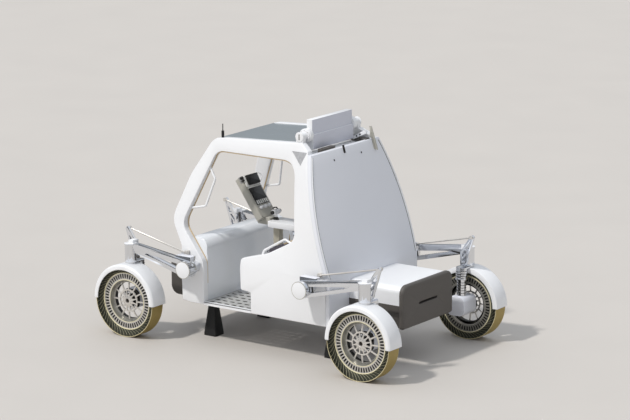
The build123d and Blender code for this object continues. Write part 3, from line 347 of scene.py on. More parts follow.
# Painted shade, dark with no highlight, so that an opening or the bore reads as deep.
painted_shade_dark = finish("dark_painted_shade", "#1F1E1B", 0.6, tone=0.1, tone_mm=30, grain=0.05)
bore_painted_shade = finish("dark_brown_painted_shade", "#2E2620", 0.6, tone=0.1, tone_mm=10)
# Anodised sheet: a warm dull gold with a blurred highlight, and paler where its edge is worn.
tread_gold = finish(
    "gold_anodised_tread", "#B5A064", 0.42, metal=0.45,
    tone=0.14, tone_mm=40, grain=0.15, grain_mm=3,
)
edge_gold = finish("pale_gold_edge", "#F4ECC6", 0.35, metal=0.1, tone=0.05, tone_mm=40)
# Dark olive: partly spring steel's colour, partly painted shade inside the tread. A pale line
# marks the edge of every second leaf.
leaf_olive_and_painted_shade = finish("dark_olive_leaf_and_painted_shade", "#54564A", 0.42, metal=0.35, tone=0.15, tone_mm=30)
leaf_pale_edge = finish("pale_leaf_edge", "#B9B59A", 0.4, metal=0.3, tone=0.12, tone_mm=30)
print("all finishes:", len(bpy.data.materials))


# %% [markdown]
# Each visible piece is an object of the scene with a plain mesh. It rides on one body, so
# that it moves with it, and may stand for CAD nodes, which are then hidden.

# %% Pieces
def link(name, mesh):
    """A new object with this mesh in the scene."""
    piece = bpy.data.objects.new(name, mesh)
    scene.collection.objects.link(piece)
    return piece


def baked(piece):
    """Turn a piece's modifiers into a plain mesh."""
    evaluated = piece.evaluated_get(bpy.context.evaluated_depsgraph_get())
    mesh = bpy.data.meshes.new_from_object(evaluated)
    piece.modifiers.clear()
    piece.data = mesh
    return piece


def smooth(piece, angle=35):
    """Smooth shading, broken at edges sharper than the angle."""
    for face in piece.data.polygons:
        face.use_smooth = True
    piece.data.set_sharp_from_angle(angle=math.radians(angle))
    return piece


def ready(piece, body, stands_for=()):
    """Give a piece its body and the CAD nodes that it stands for."""
    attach(piece, body)
    if stands_for:
        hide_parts(*stands_for)
    return piece


# %% [markdown]
# On a real panel no edge is quite sharp, and the round of the edge catches a line of light.
# A CAD node comes as loose triangles with sharp edges. It could be given the line by a bevel
# shader, but an export drops that. So a copy of the node is merged, its flat regions are
# joined back into whole faces, and a bevel modifier rounds its edges. The copy then stands
# for the node. Faces can be given a second finish by where they lie.

# %% Dressed CAD nodes
def rounded(piece, edge, steps=2, angle=28, clamped=True):
    """Bevel the edges that are sharper than the angle."""
    bevel = piece.modifiers.new("edges", "BEVEL")
    bevel.width = edge
    bevel.segments = steps
    bevel.limit_method = "ANGLE"
    bevel.angle_limit = math.radians(angle)
    bevel.use_clamp_overlap = clamped
    return baked(piece)


def dressed(node, material, edge=0.003, steps=2, zones=(), clamped=False, cut=None):
    """A rounded copy of a CAD node. zones lists (material, test of a face's centre and normal).

    cut is a height at which the faces are split, so that a zone can end there.
    """
    mesh = nodes[node].data.copy()
    mesh.materials.clear()
    for each in (material, *[zone for zone, _ in zones]):
        mesh.materials.append(each)
    shell = bmesh.new()
    shell.from_mesh(mesh)
    bmesh.ops.remove_doubles(shell, verts=shell.verts, dist=1e-5)
    flat = math.radians(0.5)
    bmesh.ops.dissolve_limit(shell, angle_limit=flat, verts=shell.verts, edges=shell.edges)
    if cut:
        whole = shell.verts[:] + shell.edges[:] + shell.faces[:]
        bmesh.ops.bisect_plane(shell, geom=whole, plane_co=(0, 0, cut), plane_no=(0, 0, 1))
    for face in shell.faces:
        face.material_index = 0
        centre = face.calc_center_median()
        for index, (_, test) in enumerate(zones):
            if test(centre, face.normal):
                face.material_index = index + 1
    shell.to_mesh(mesh)
    shell.free()
    piece = link(f"{node}_skin", mesh)
    if edge:
        rounded(piece, edge, steps, clamped=clamped)
    smooth(piece)
    return ready(piece, nodes[node]["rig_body"], stands_for=[node])


print("nodes that can be dressed:", len(nodes))


# %% [markdown]
# The small parts are drawn as closed shells in mesh code. They could be Blender's own
# cylinders and cubes, joined and moved, but a list of numbers is easier to check against a
# drawing. A turned shell is a profile spun round an axis, as on a lathe. Each shell is drawn
# in a frame of its own: a matrix whose z runs along the part.

# %% Turned shells
def axes(origin, along, across=(1, 0, 0)):
    """A frame as a matrix: its z runs along, its x across."""
    up = Vector(along).normalized()
    side = Vector(across)
    side = (side - side.dot(up) * up).normalized()
    return Matrix.Translation(origin) @ Matrix((side, up.cross(side), up)).transposed().to_4x4()


def circle(radius, height, steps=96):
    """Points of a circle round z."""
    angles = [math.tau * step / steps for step in range(steps)]
    return [Vector((radius * math.cos(a), radius * math.sin(a), height)) for a in angles]


def turned(shell, place, profile, finish=0, segments=48, closed=True):
    """Spin a profile of (radius, height) round the frame's z. A closed profile is a ring's."""
    rings = []
    for radius, height in profile:
        spots = circle(radius, height, segments if radius > 1e-6 else 1)
        rings.append([shell.verts.new(place @ spot) for spot in spots])
    pairs = list(zip(rings, rings[1:]))
    if closed:
        pairs.append((rings[-1], rings[0]))
    for first, second in pairs:
        for step in range(segments):
            after = step + 1
            ring = [first[step % len(first)], first[after % len(first)]]
            ring += [second[after % len(second)], second[step % len(second)]]
            ring = list(dict.fromkeys(ring))
            if len(ring) > 2:
                shell.faces.new(ring).material_index = finish


def washer(shell, place, inner, outer, low, high, finish=0, segments=48):
    """A ring with a rectangular section."""
    profile = [(inner, low), (outer, low), (outer, high), (inner, high)]
    turned(shell, place, profile, finish, segments)


print("a turned shell has 48 sides unless told otherwise")


# %% [markdown]
# Plates, blocks and spokes are flat or square. A cube could be scaled and cut for each, but
# an outline with a depth says it in one line. A prism is an outline pushed up, as a plate is
# cut from sheet. A bar is a row of box sections joined end to end, for spokes that taper.

# %% Prisms and bars
def prism(shell, place, outline, depth, finish=0):
    """Push an outline of (x, y) up by the depth."""
    low = [shell.verts.new(place @ Vector((x, y, 0))) for x, y in outline]
    high = [shell.verts.new(place @ Vector((x, y, depth))) for x, y in outline]
    faces = [shell.faces.new(low[::-1]), shell.faces.new(high)]
    for step, vert in enumerate(low):
        after = (step + 1) % len(low)
        faces.append(shell.faces.new((vert, low[after], high[after], high[step])))
    for face in faces:
        face.material_index = finish


def bar(shell, place, sections, finish=0):
    """Join sections: distance along x, half width in y, top and thickness in z."""
    rings = []
    for along, half, top_z, thick in sections:
        low_z = top_z - thick
        corners = ((-half, low_z), (half, low_z), (half, top_z), (-half, top_z))
        rings.append([shell.verts.new(place @ Vector((along, y, z))) for y, z in corners])
    faces = [shell.faces.new(rings[0][::-1]), shell.faces.new(rings[-1])]
    for first, second in zip(rings, rings[1:]):
        for step in range(4):
            after = (step + 1) % 4
            faces.append(shell.faces.new((first[step], first[after], second[after], second[step])))
    for face in faces:
        face.material_index = finish


def oblong(width, height, corner, steps=4):
    """Outline of a rectangle with round corners, about its middle."""
    outline = []
    for quarter, (side_x, side_y) in enumerate(((1, 1), (-1, 1), (-1, -1), (1, -1))):
        for step in range(steps + 1):
            angle = math.tau / 4 * (quarter + step / steps)
            x = side_x * (width / 2 - corner) + corner * math.cos(angle)
            y = side_y * (height / 2 - corner) + corner * math.sin(angle)
            outline.append((x, y))
    return outline


print("points in an oblong's outline:", len(oblong(0.1, 0.1, 0.01)))


# %% [markdown]
# Seals, cords and handles are round and follow a line. A curve object with a round bevel
# could draw them, but they are mostly one part of a bigger shell. So a tube is a shell too.
# Its sections are turned as little as can be from one point to the next, so that it doesn't
# twist.

# %% Tubes
def tube(shell, points, radius, finish=0, sides=12, closed=False):
    """A round tube along points."""
    points = [Vector(point) for point in points]
    spins = [math.tau * side / sides for side in range(sides)]
    rings = []
    normal = None
    for step, point in enumerate(points):
        before = points[step - 1] if step or closed else point
        after = points[(step + 1) % len(points)] if step + 1 < len(points) or closed else point
        along = (after - before).normalized()
        normal = along.orthogonal() if normal is None else normal - normal.dot(along) * along
        normal.normalize()
        across = along.cross(normal)
        offsets = [radius * (math.cos(s) * normal + math.sin(s) * across) for s in spins]
        rings.append([shell.verts.new(point + offset) for offset in offsets])
    faces = [] if closed else [shell.faces.new(rings[0][::-1]), shell.faces.new(rings[-1])]
    for first, second in zip(rings, rings[1:] + (rings[:1] if closed else [])):
        for side in range(sides):
            after = (side + 1) % sides
            faces.append(shell.faces.new((first[side], first[after], second[after], second[side])))
    for face in faces:
        face.material_index = finish


trial = bmesh.new()
tube(trial, [(0, 0, 0), (0, 0, 1)], 0.01)
print("faces of a straight tube:", len(trial.faces))
trial.free()


# %% [markdown]
# A finished shell becomes a piece with its finishes in a list, and each face names one by its
# number. All faces are turned outward first, because a shell drawn by hand may be inside out.

# %% From shell to piece
def piece_of(name, shell, finishes, edge=0.0):
    """Close a shell into a piece with these finishes, faces outward."""
    bmesh.ops.recalc_face_normals(shell, faces=shell.faces)
    mesh = bpy.data.meshes.new(name)
    for material in finishes:
        mesh.materials.append(material)
    shell.to_mesh(mesh)
    shell.free()
    piece = link(name, mesh)
    if edge:
        rounded(piece, edge)
    return smooth(piece)


def merged(shell, mesh, place, finish=0):
    """Add a placed copy of a mesh to a shell, all in one finish."""
    copy = mesh.copy()
    copy.transform(place)
    count = len(shell.faces)
    shell.from_mesh(copy)
    shell.faces.ensure_lookup_table()
    for face in shell.faces[count:]:
        face.material_index = finish
    bpy.data.meshes.remove(copy)


print("materials ready for pieces:", len(bpy.data.materials))


# %% [markdown]
# What repeats round an axle, such as spokes, slots and the leaves that spring the tread, is
# one small mesh that a Geometry Nodes tree copies round the z axis. A loop could do this too,
# but the tree is set once and reused with other numbers. Its inputs are the number of copies
# and the finish. Neighbours that touch are welded, and the copies are made real, because an
# export drops instances.

# %% Copies round an axis
def socket_of(tree, name, kind, value=None):
    """A named input of a Geometry Nodes tree."""
    socket = tree.interface.new_socket(name, in_out="INPUT", socket_type=kind)
    if value is not None:
        socket.default_value = value


def ending(tree, source, geometry):
    """Realize, weld and finish a geometry, and hand it out."""
    tree.interface.new_socket("Geometry", in_out="OUTPUT", socket_type="NodeSocketGeometry")
    real = add(tree, "GeometryNodeRealizeInstances", Geometry=geometry)
    weld = add(tree, "GeometryNodeMergeByDistance", Geometry=real.outputs[0], Distance=2e-5)
    chosen = source.outputs["Finish"]
    coloured = add(tree, "GeometryNodeSetMaterial", Geometry=weld.outputs[0], Material=chosen)
    add(tree, "NodeGroupOutput", Geometry=coloured.outputs[0])


ring_tree = bpy.data.node_groups.new("copies_round_an_axis", "GeometryNodeTree")
socket_of(ring_tree, "Geometry", "NodeSocketGeometry")
socket_of(ring_tree, "Copies", "NodeSocketInt", 12)
socket_of(ring_tree, "Finish", "NodeSocketMaterial")
given = add(ring_tree, "NodeGroupInput")
count = given.outputs["Copies"]
spots = add(ring_tree, "GeometryNodeMeshLine", Count=count, Offset=(0, 0, 0))
number = add(ring_tree, "GeometryNodeInputIndex")
share = add(ring_tree, "ShaderNodeMath", {"operation": "DIVIDE"}, _0=number.outputs[0], _1=count)
spin = add(ring_tree, "ShaderNodeMath", {"operation": "MULTIPLY"}, _0=share.outputs[0], _1=math.tau)
turned_by = add(ring_tree, "ShaderNodeCombineXYZ", Z=spin.outputs[0])
copies = add(
    ring_tree, "GeometryNodeInstanceOnPoints",
    Points=spots.outputs[0], Instance=given.outputs["Geometry"], Rotation=turned_by.outputs[0],
)
ending(ring_tree, given, copies.outputs[0])


def spread(shell, tree, finish, **inputs):
    """Bake a tree on a shell's mesh. The shell is freed."""
    bmesh.ops.recalc_face_normals(shell, faces=shell.faces)
    mesh = bpy.data.meshes.new("unit")
    shell.to_mesh(mesh)
    shell.free()
    carrier = link("carrier", mesh)
    modifier = carrier.modifiers.new("copies", "NODES")
    modifier.node_group = tree
    inputs["Finish"] = finish
    for item in tree.interface.items_tree:
        if item.item_type == "SOCKET" and item.in_out == "INPUT" and item.name in inputs:
            modifier[item.identifier] = inputs[item.name]
    baked(carrier)
    result = carrier.data
    bpy.data.objects.remove(carrier)
    return result


print("tree inputs:", [item.name for item in ring_tree.interface.items_tree])

# %% [markdown]
# The cab and the equipment bays are painted panels. Their edges are folded or moulded, with
# a radius of 4 to 8 mm on the big ones. The right form is in the CAD nodes already, so they
# are only dressed. Where one solid has two colours in life, a zone picks the faces: the grey
# fin on the antenna's bracket, the beige posts of the table, and the dark lower edge of the
# deck's skirt. A zone also gives the antenna's rear faces a pale lavender as painted shade,
# and the rear wall gets a bluer, duller copy of the white paint as painted shade.

# %% Body panels
SKIRT_EDGE = 0.660
POST_TOP = 1.175
dressed("side_frame_left", white_paint, edge=0.008, steps=3)
dressed("side_frame_right", white_paint, edge=0.008, steps=3)
# The rear wall's bluer, duller copy of the white paint is painted shade.
dressed("rear_wall", wall_painted_shade, edge=0.006, steps=3)
dressed("roof_panel", white_paint, edge=0.005)
dressed("dash_bulkhead", gloss_moulding, edge=0.006, steps=3)
dressed("seat_base", white_paint, edge=0.006)
dressed("floor_pan", floor_paint, edge=0.002)
dressed(
    "rear_deck", white_paint, edge=0.004, cut=SKIRT_EDGE,
    zones=[(dark_case, lambda c, n: c.z < SKIRT_EDGE and c.x < -0.97)],
)
dressed("rear_bay", dark_case, edge=0.005, steps=3)
dressed("front_bay", dark_case, edge=0.006, steps=3)
dressed("hand_rails", white_paint, edge=0)
dressed(
    "antenna_brackets", white_paint, edge=0.003, clamped=True,
    zones=[(console_grey, lambda c, n: -0.52 < c.y < -0.48 and c.x < -0.5)],
)
# The antenna's rear faces are pale lavender: painted shade.
dressed(
    "antenna_panel", white_paint, edge=0.002,
    zones=[(antenna_back_painted_shade, lambda c, n: n.x < -0.9)],
)
dressed("display_stands", black_coat, edge=0.004)
dressed("whip_aerial", black_coat, edge=0)
dressed("upper_rods", spoke_metal, edge=0.002, clamped=True)
dressed(
    "centre_table", white_paint, edge=0.003,
    zones=[(beige_paint, lambda c, n: c.z < POST_TOP)],
)
dressed("display_console", console_grey, edge=0.003)

# %% [markdown]
# The roof carries a grey laminate sheet that leaves a white border at its edges. A second
# material on the roof's top face would be simpler, but the real sheet is a layer of its own,
# and its thin edge shows. Two pale seams run across it.

# %% Roof sheet
ROOF_FRONT = Vector((0.705, 0, 2.150))
ROOF_REAR = Vector((-0.318, 0, 2.212))
SHEET_THICK = 0.003
SHEET_LIFT = Vector((0, 0, 0.0005))

roof_rise = (ROOF_FRONT - ROOF_REAR).normalized()
roof_up = roof_rise.cross(Vector((0, 1, 0)))
sheet = bmesh.new()
sheet_frame = axes((ROOF_FRONT + ROOF_REAR) / 2 + SHEET_LIFT, roof_up, roof_rise)
prism(sheet, sheet_frame, oblong(0.960, 0.972, 0.012), SHEET_THICK)
for seam_y in (-0.16, 0.16):
    on_top = sheet_frame @ Matrix.Translation((0, seam_y, SHEET_THICK))
    prism(sheet, on_top, oblong(0.950, 0.0030, 0.0012), 0.0005, 1)
ready(piece_of("roof_sheet", sheet, [roof_grey, roof_seam]), "chassis")
print("roof sheet rises", round(math.degrees(math.asin(-roof_rise.z)), 1), "degrees to the rear")

# %% [markdown]
# The door opening has a tan seal, a cord of rubber along its edge. It follows the opening's
# outline, which is straight runs joined by round corners, so a tube is laid along the same
# corners and radii. The cab's side leans in above a crease, and the seal leans with it. Down
# the posts it lies at the inner edge, and along the top it comes out near the outer face.

# %% Door seals
RAIL_Z = 2.226
SILL_Y = 0.805
CREASE_Z = 0.9
LEAN = (SILL_Y - 0.525) / (RAIL_Z - CREASE_Z)
SIDE_WALL = 0.080
SEAL_RADIUS = 0.0075
SEAL_GAP = 0.004
SEAL_SHIFT = 0.062
SHIFT_FROM = 1.90
SHIFT_OVER = 0.12
SEAL_RUN = [
    (0.662, 0.640, 0), (0.662, 0.882, 0.140), (0.990, 1.237, 0.150), (0.641, 2.030, 0.130),
    (-0.376, 2.030, 0.185), (-0.492, 1.262, 0.120), (-0.300, 1.180, 0),
]


def side_y(z):
    """Distance of the cab side's outer face from the centre plane."""
    return SILL_Y - LEAN * max(z - CREASE_Z, 0)


def arc_path(points, steps=6):
    """Points of (x, z, corner radius) joined by straight runs and round corners."""
    path = []
    for step, (x, z, radius) in enumerate(points):
        here = Vector((x, z))
        if radius == 0 or step in (0, len(points) - 1):
            path.append(here)
            continue
        before = (Vector(points[step - 1][:2]) - here).normalized()
        after = (Vector(points[step + 1][:2]) - here).normalized()
        half = before.angle(after) / 2
        reach = radius / math.tan(half)
        centre = here + (before + after).normalized() * radius / math.sin(half)
        first, last = here + before * reach - centre, here + after * reach - centre
        spokes = [first.slerp(last, share / steps).normalized() for share in range(steps + 1)]
        path += [centre + radius * spoke for spoke in spokes]
    return path


def door_seal(name, side):
    """The seal of one door opening."""
    seal = bmesh.new()
    run = []
    for point in arc_path(SEAL_RUN):
        share = min(max((point.y - SHIFT_FROM) / SHIFT_OVER, 0), 1)
        inset = SIDE_WALL - SEAL_GAP - SEAL_SHIFT * share
        run.append((point.x, side * (side_y(point.y) - inset), point.y))
    tube(seal, run, SEAL_RADIUS, 0, 8)
    ready(piece_of(f"door_seal_{name}", seal, [seal_tan]), "chassis")


print("points along a seal:", len(arc_path(SEAL_RUN)))

# %% [markdown]
# Where the roof rail meets the rear wall, the side flares and turns under. A triangular grey
# plate is let into the side there, whose patchy grey is painted reflection of the flare. A flat
# plate would sink into the flare or stand off, so its points are thrown onto the side frame's
# own skin instead, row by row, and lifted by a few millimetres along the skin's normal.

# %% Painted reflection on the flares
FLARE_PATCH = [(-0.318, 2.136), (-0.538, 2.150), (-0.474, 2.014)]
FLARE_PATCH_LIFT = 0.0035
FLARE_PATCH_DEEP = 0.004


def skin_of(node):
    """A search tree of a CAD node's faces."""
    mesh = nodes[node].data
    spots = [vert.co for vert in mesh.vertices]
    return BVHTree.FromPolygons(spots, [tuple(face.vertices) for face in mesh.polygons])


def laid(shell, skin, side, corners, steps=10):
    """A triangular plate that follows the cab side's skin, from three (x, z) corners."""
    spots = {}
    for row in range(steps + 1):
        for column in range(steps + 1 - row):
            share = Vector((steps - row - column, row, column)) / steps
            x = sum(part * corner[0] for part, corner in zip(share, corners))
            z = sum(part * corner[1] for part, corner in zip(share, corners))
            hit, normal, _, _ = skin.ray_cast(Vector((x, side * 1.2, z)), Vector((0, -side, 0)))
            outer, inner = hit + normal * FLARE_PATCH_LIFT, hit - normal * FLARE_PATCH_DEEP
            spots[row, column] = [shell.verts.new(outer), shell.verts.new(inner)]
    for layer in (0, 1):
        for row in range(steps):
            for column in range(steps - row):
                ring = [spots[row, column], spots[row + 1, column], spots[row, column + 1]]
                shell.faces.new([pair[layer] for pair in ring])
                if column < steps - row - 1:
                    ring = [ring[1], spots[row + 1, column + 1], ring[2]]
                    shell.faces.new([pair[layer] for pair in ring])
    border = [(step, 0) for step in range(steps)] + [(steps - step, step) for step in range(steps)]
    border += [(0, steps - step) for step in range(steps)]
    for first, second in zip(border, border[1:] + border[:1]):
        shell.faces.new((spots[first][0], spots[second][0], spots[second][1], spots[first][1]))


for name, side in (("left", 1), ("right", -1)):
    door_seal(name, side)
    # A grey plate laid on each flared corner: painted reflection.
    flare_patch = bmesh.new()
    laid(flare_patch, skin_of(f"side_frame_{name}"), side, FLARE_PATCH)
    print("gusset faces:", len(flare_patch.faces))
    ready(piece_of(f"flare_patch_{name}", flare_patch, [flare_painted_reflection]), "chassis")

# %% [markdown]
# The step gratings are pierced with rows of oblong holes. Holes could be cut from a plate
# with booleans, but dozens of cuts are slow and leave poor faces. Instead one cell of the
# plate is drawn with its hole, and a tree repeats it on a grid. Neighbouring cells share
# their edge points, so that welding makes one plate of them.

# %% Grid of cells
grid_tree = bpy.data.node_groups.new("cells_on_a_grid", "GeometryNodeTree")
socket_of(grid_tree, "Geometry", "NodeSocketGeometry")
for name in ("Along", "Across"):
    socket_of(grid_tree, name, "NodeSocketInt", 6)
for name in ("Pitch Along", "Pitch Across"):
    socket_of(grid_tree, name, "NodeSocketFloat", 0.1)
socket_of(grid_tree, "Finish", "NodeSocketMaterial")
given = add(grid_tree, "NodeGroupInput")
spans = []
for name in ("Along", "Across"):
    count, pitch = given.outputs[name], given.outputs[f"Pitch {name}"]
    gaps = add(grid_tree, "ShaderNodeMath", {"operation": "SUBTRACT"}, _0=count, _1=1.0)
    span = add(grid_tree, "ShaderNodeMath", {"operation": "MULTIPLY"}, _0=gaps.outputs[0], _1=pitch)
    spans.append(span.outputs[0])
grid = add(
    grid_tree, "GeometryNodeMeshGrid", Size_X=spans[0], Size_Y=spans[1],
    Vertices_X=given.outputs["Along"], Vertices_Y=given.outputs["Across"],
)
unit = given.outputs["Geometry"]
copies = add(grid_tree, "GeometryNodeInstanceOnPoints", Points=grid.outputs[0], Instance=unit)
ending(grid_tree, given, copies.outputs[0])


def pierced_cell(length, width, hole_length, hole_width, thick):
    """A plate cell with an oblong hole, open at its four sides, and a black lining in the hole as
    painted shade.
    """
    shell, lining = bmesh.new(), bmesh.new()
    border = []
    corners = ((-1, -1), (1, -1), (1, 1), (-1, 1))
    for start, end in zip(corners, corners[1:] + corners[:1]):
        run_x, run_y = end[0] - start[0], end[1] - start[1]
        border += [(start[0] + run_x * step / 4, start[1] + run_y * step / 4) for step in range(4)]
    radius = hole_width / 2
    hole = []
    for x, y in border:
        angle = math.atan2(y * 0.8, x)
        shift = math.copysign(hole_length / 2 - radius, x)
        spot = (shift + radius * math.cos(angle), radius * math.sin(angle))
        hole.append(spot if abs(x) > 0.1 else (0, math.copysign(radius, y)))
    rings = []
    for height in (0, thick):
        outer = [shell.verts.new((x * length / 2, y * width / 2, height)) for x, y in border]
        rings.append((outer, [shell.verts.new((x, y, height)) for x, y in hole]))
    for step in range(len(hole)):
        after = (step + 1) % len(hole)
        for outer, inner in rings:
            shell.faces.new((outer[step], outer[after], inner[after], inner[step]))
    walls = []
    wide, deep = 1.04, -0.006
    for scale, height in ((1, thick - 0.0002), (1, deep), (wide, deep), (wide, thick - 0.0006)):
        walls.append([lining.verts.new((x * scale, y * scale, height)) for x, y in hole])
    for first, second in zip(walls, walls[1:] + walls[:1]):
        for step in range(len(hole)):
            after = (step + 1) % len(hole)
            lining.faces.new((first[step], first[after], second[after], second[step]))
    return shell, lining


print("grid inputs:", [item.name for item in grid_tree.interface.items_tree])

# %% [markdown]
# A step is the pierced plate, four plain strips that fill it out to the opening, and a white
# nosing folded over its outer edge. Each hole has a black lining, which is painted shade on its
# walls. The left and right steps mirror each other.

# %% Step gratings
STEP_LOW, STEP_HIGH = Vector((0.0405, 0.2005)), Vector((0.6555, 0.8040))
STEP_TOP = 0.4500
STEP_PLATE = 0.0080
HOLES = 6
PITCH = 0.0957
HOLE_LENGTH = 0.0620
HOLE_WIDTH = 0.0260
NOSING = [
    (0, 0.4505), (0, 0.4165), (0.008, 0.4165), (0.008, 0.442), (0.030, 0.442), (0.030, 0.4515),
    (0.004, 0.4515),
]
PLATE, NOSE, HOLE_SHADE = range(3)

cell, lining = pierced_cell(PITCH, PITCH, HOLE_LENGTH, HOLE_WIDTH, STEP_PLATE)
sizes = {"Along": HOLES, "Across": HOLES, "Pitch Along": PITCH, "Pitch Across": PITCH}
perforated = spread(cell, grid_tree, grating_metal, **sizes)
# The hole linings are black: painted shade in the holes.
hole_shades = spread(lining, grid_tree, rubber_and_painted_shade, **sizes)
middle = (STEP_LOW + STEP_HIGH) / 2 + Vector((0.004, 0))
reach = HOLES * PITCH / 2
holes_x = (middle.x - reach, middle.x + reach)
strips = [
    ((STEP_LOW.x, holes_x[0]), (STEP_LOW.y, STEP_HIGH.y)),
    ((holes_x[1], STEP_HIGH.x), (STEP_LOW.y, STEP_HIGH.y)),
    (holes_x, (STEP_LOW.y, middle.y - reach)),
    (holes_x, (middle.y + reach, STEP_HIGH.y)),
]
for name, side in (("left", 1), ("right", -1)):
    grating = bmesh.new()
    plate_z = STEP_TOP - STEP_PLATE
    spot = Matrix.Translation((middle.x, side * middle.y, plate_z))
    merged(grating, perforated, spot, PLATE)
    merged(grating, hole_shades, spot, HOLE_SHADE)
    for (x_low, x_high), (y_low, y_high) in strips:
        at = Matrix.Translation(((x_low + x_high) / 2, side * (y_low + y_high) / 2, plate_z))
        prism(grating, at, oblong(x_high - x_low, y_high - y_low, 0.0004, 1), STEP_PLATE, PLATE)
    outer_edge = axes((STEP_LOW.x, side * STEP_HIGH.y, 0), (1, 0, 0), (0, -side, 0))
    lip = [(x, -side * y) for x, y in NOSING]
    prism(grating, outer_edge, lip, STEP_HIGH.x - STEP_LOW.x, NOSE)
    piece = piece_of(f"grating_{name}", grating, [grating_metal, white_paint, rubber_and_painted_shade])
    ready(piece, "chassis", ["step_gratings"] if side > 0 else [])
print("grating holes:", 2 * HOLES * HOLES)

# %% [markdown]
# The display console leans back on its foot. On its face sit a lower screen, a row of six
# keys, three knobs and a pale bracket that carries a tilted upper screen. Each is a small
# prism or turned shell placed in the face's own frame, with x to the right, y up the face and
# z off it, so that the numbers can be read off a front view. Nothing on them is lettered.

# %% Console face
FACE_FOOT = (0.385, 0, 1.255)
FACE_UP = Vector((0.5736, 0, 0.8192))
KEYS = 6
CASE, SCREEN, KEY, RUBBER, PAINT = range(5)

face_across = Vector((0, -1, 0))
face_axes = Matrix((face_across, FACE_UP, face_across.cross(FACE_UP))).transposed()
face = Matrix.Translation(FACE_FOOT) @ face_axes.to_4x4()


def on_face(x, y, z=0.0, tilt=0.0):
    """A frame on the console's face: x to the right, y up it, z off it."""
    return face @ Matrix.Translation((x, y, z)) @ Matrix.Rotation(math.radians(tilt), 4, "X")


panel = bmesh.new()
prism(panel, on_face(0, 0.253), oblong(0.250, 0.494, 0.012), 0.004, CASE)
prism(panel, on_face(0, 0.279, 0.004), oblong(0.206, 0.146, 0.006), 0.007, SCREEN)
prism(panel, on_face(0, 0.361, 0.004), oblong(0.220, 0.012, 0.003), 0.012, KEY)
prism(panel, on_face(0, 0.182, 0.004), oblong(0.200, 0.056, 0.004), 0.003, RUBBER)
for number in range(KEYS):
    key_x = -0.080 + 0.032 * number
    prism(panel, on_face(key_x, 0.182, 0.007), oblong(0.016, 0.046, 0.004), 0.007, KEY)
KNOB = [(0, 0), (0.020, 0), (0.020, 0.012), (0.0165, 0.018), (0.0155, 0.028), (0, 0.029)]
for knob_x in (-0.066, 0, 0.066):
    turned(panel, on_face(knob_x, 0.118, 0.004), KNOB, PAINT, 24, closed=False)
SCREW = [(0, 0), (0.0045, 0), (0.0040, 0.002), (0, 0.0024)]
for x, y in ((-0.113, 0.018), (0.113, 0.018), (-0.113, 0.488), (0.113, 0.488)):
    turned(panel, on_face(x, y, 0.004), SCREW, RUBBER, 12, closed=False)
face_finishes = [console_grey, screen_black, key_grey, rubber_and_painted_shade, white_paint]
ready(piece_of("console_face", panel, face_finishes, edge=0.0012), "chassis")
print("keys:", KEYS, "on a face that leans", round(math.degrees(math.acos(FACE_UP.z))), "degrees")

# %% [markdown]
# The upper screen sits in a case of its own on a pale bracket, tilted by a few degrees more
# than the face. Two buttons stand out on its left, and a white handle loops round its right
# side. The handle is a tube through six points.

# %% Upper screen
TILT_MORE = 7
PALE, DARK, GLASS, CLAMP, HANDLE = range(5)
HANDLE_RUN = (
    (0.100, 0.490, 0.030), (0.128, 0.484, 0.050), (0.140, 0.455, 0.058),
    (0.136, 0.425, 0.054), (0.118, 0.402, 0.040), (0.098, 0.396, 0.024),
)

module = bmesh.new()
prism(module, on_face(-0.004, 0.436, 0.008, TILT_MORE), oblong(0.226, 0.128, 0.014), 0.020, PALE)
prism(module, on_face(0.004, 0.438, 0.028, TILT_MORE), oblong(0.196, 0.112, 0.008), 0.016, DARK)
prism(module, on_face(0.004, 0.438, 0.045, TILT_MORE), oblong(0.176, 0.094, 0.004), 0.002, GLASS)
for x, y, radius in ((-0.132, 0.486, 0.015), (-0.132, 0.452, 0.011)):
    button = [(0, 0), (radius, 0), (radius, 0.026), (radius * 0.8, 0.034), (0, 0.034)]
    turned(module, on_face(x, y, -0.002), button, DARK, 24, closed=False)
prism(module, on_face(-0.118, 0.470, -0.030), oblong(0.030, 0.072, 0.005), 0.034, CLAMP)
tube(module, [on_face(*spot) @ Vector() for spot in HANDLE_RUN], 0.0075, HANDLE, 10)
module_finishes = [key_grey, rubber_and_painted_shade, screen_black, satin_metal, white_paint]
ready(piece_of("console_module", module, module_finishes, edge=0.0015), "chassis")
print("handle points:", len(HANDLE_RUN))

# %% [markdown]
# The hand controller on the table is a white barrel across a short white neck, between black
# rubber caps, with a thin black lever over it. Cylinders would do for the barrel and caps,
# but their ends are stepped and rounded, so they are turned, as on a lathe.

# %% Hand controller
BARREL_AT = (0.300, -0.075, 1.316)
hand = bmesh.new()
grip = Matrix.Translation((0.300, 0, 1.232))
foot = [(0, 0), (0.030, 0), (0.030, 0.012), (0.025, 0.020), (0.018, 0.028), (0, 0.028)]
turned(hand, grip, foot, 1, 32, closed=False)
turned(hand, grip, [(0, 0.022), (0.014, 0.022), (0.016, 0.078), (0, 0.078)], 0, 20, closed=False)
barrel = axes(BARREL_AT, (0, 1, 0), (1, 0, 0))
body = [(0, 0.020), (0.027, 0.020), (0.030, 0.030), (0.030, 0.118), (0.027, 0.130), (0, 0.130)]
turned(hand, barrel, body, 0, 32, closed=False)
for low in (0.0, 0.124):
    cap = [
        (0, low), (0.017, low), (0.021, low + 0.004), (0.021, low + 0.022), (0.017, low + 0.026),
        (0, low + 0.026),
    ]
    turned(hand, barrel, cap, 1, 24, closed=False)
lever = [
    (0.298, -0.030, 1.340), (0.300, -0.012, 1.362), (0.302, 0.030, 1.368), (0.303, 0.052, 1.362)
]
tube(hand, lever, 0.007, 1, 10)
piece = piece_of("controller", hand, [white_paint, rubber_and_painted_shade], edge=0.0015)
ready(piece, "chassis", ["hand_controller"])
print("controller points:", len(piece.data.vertices))

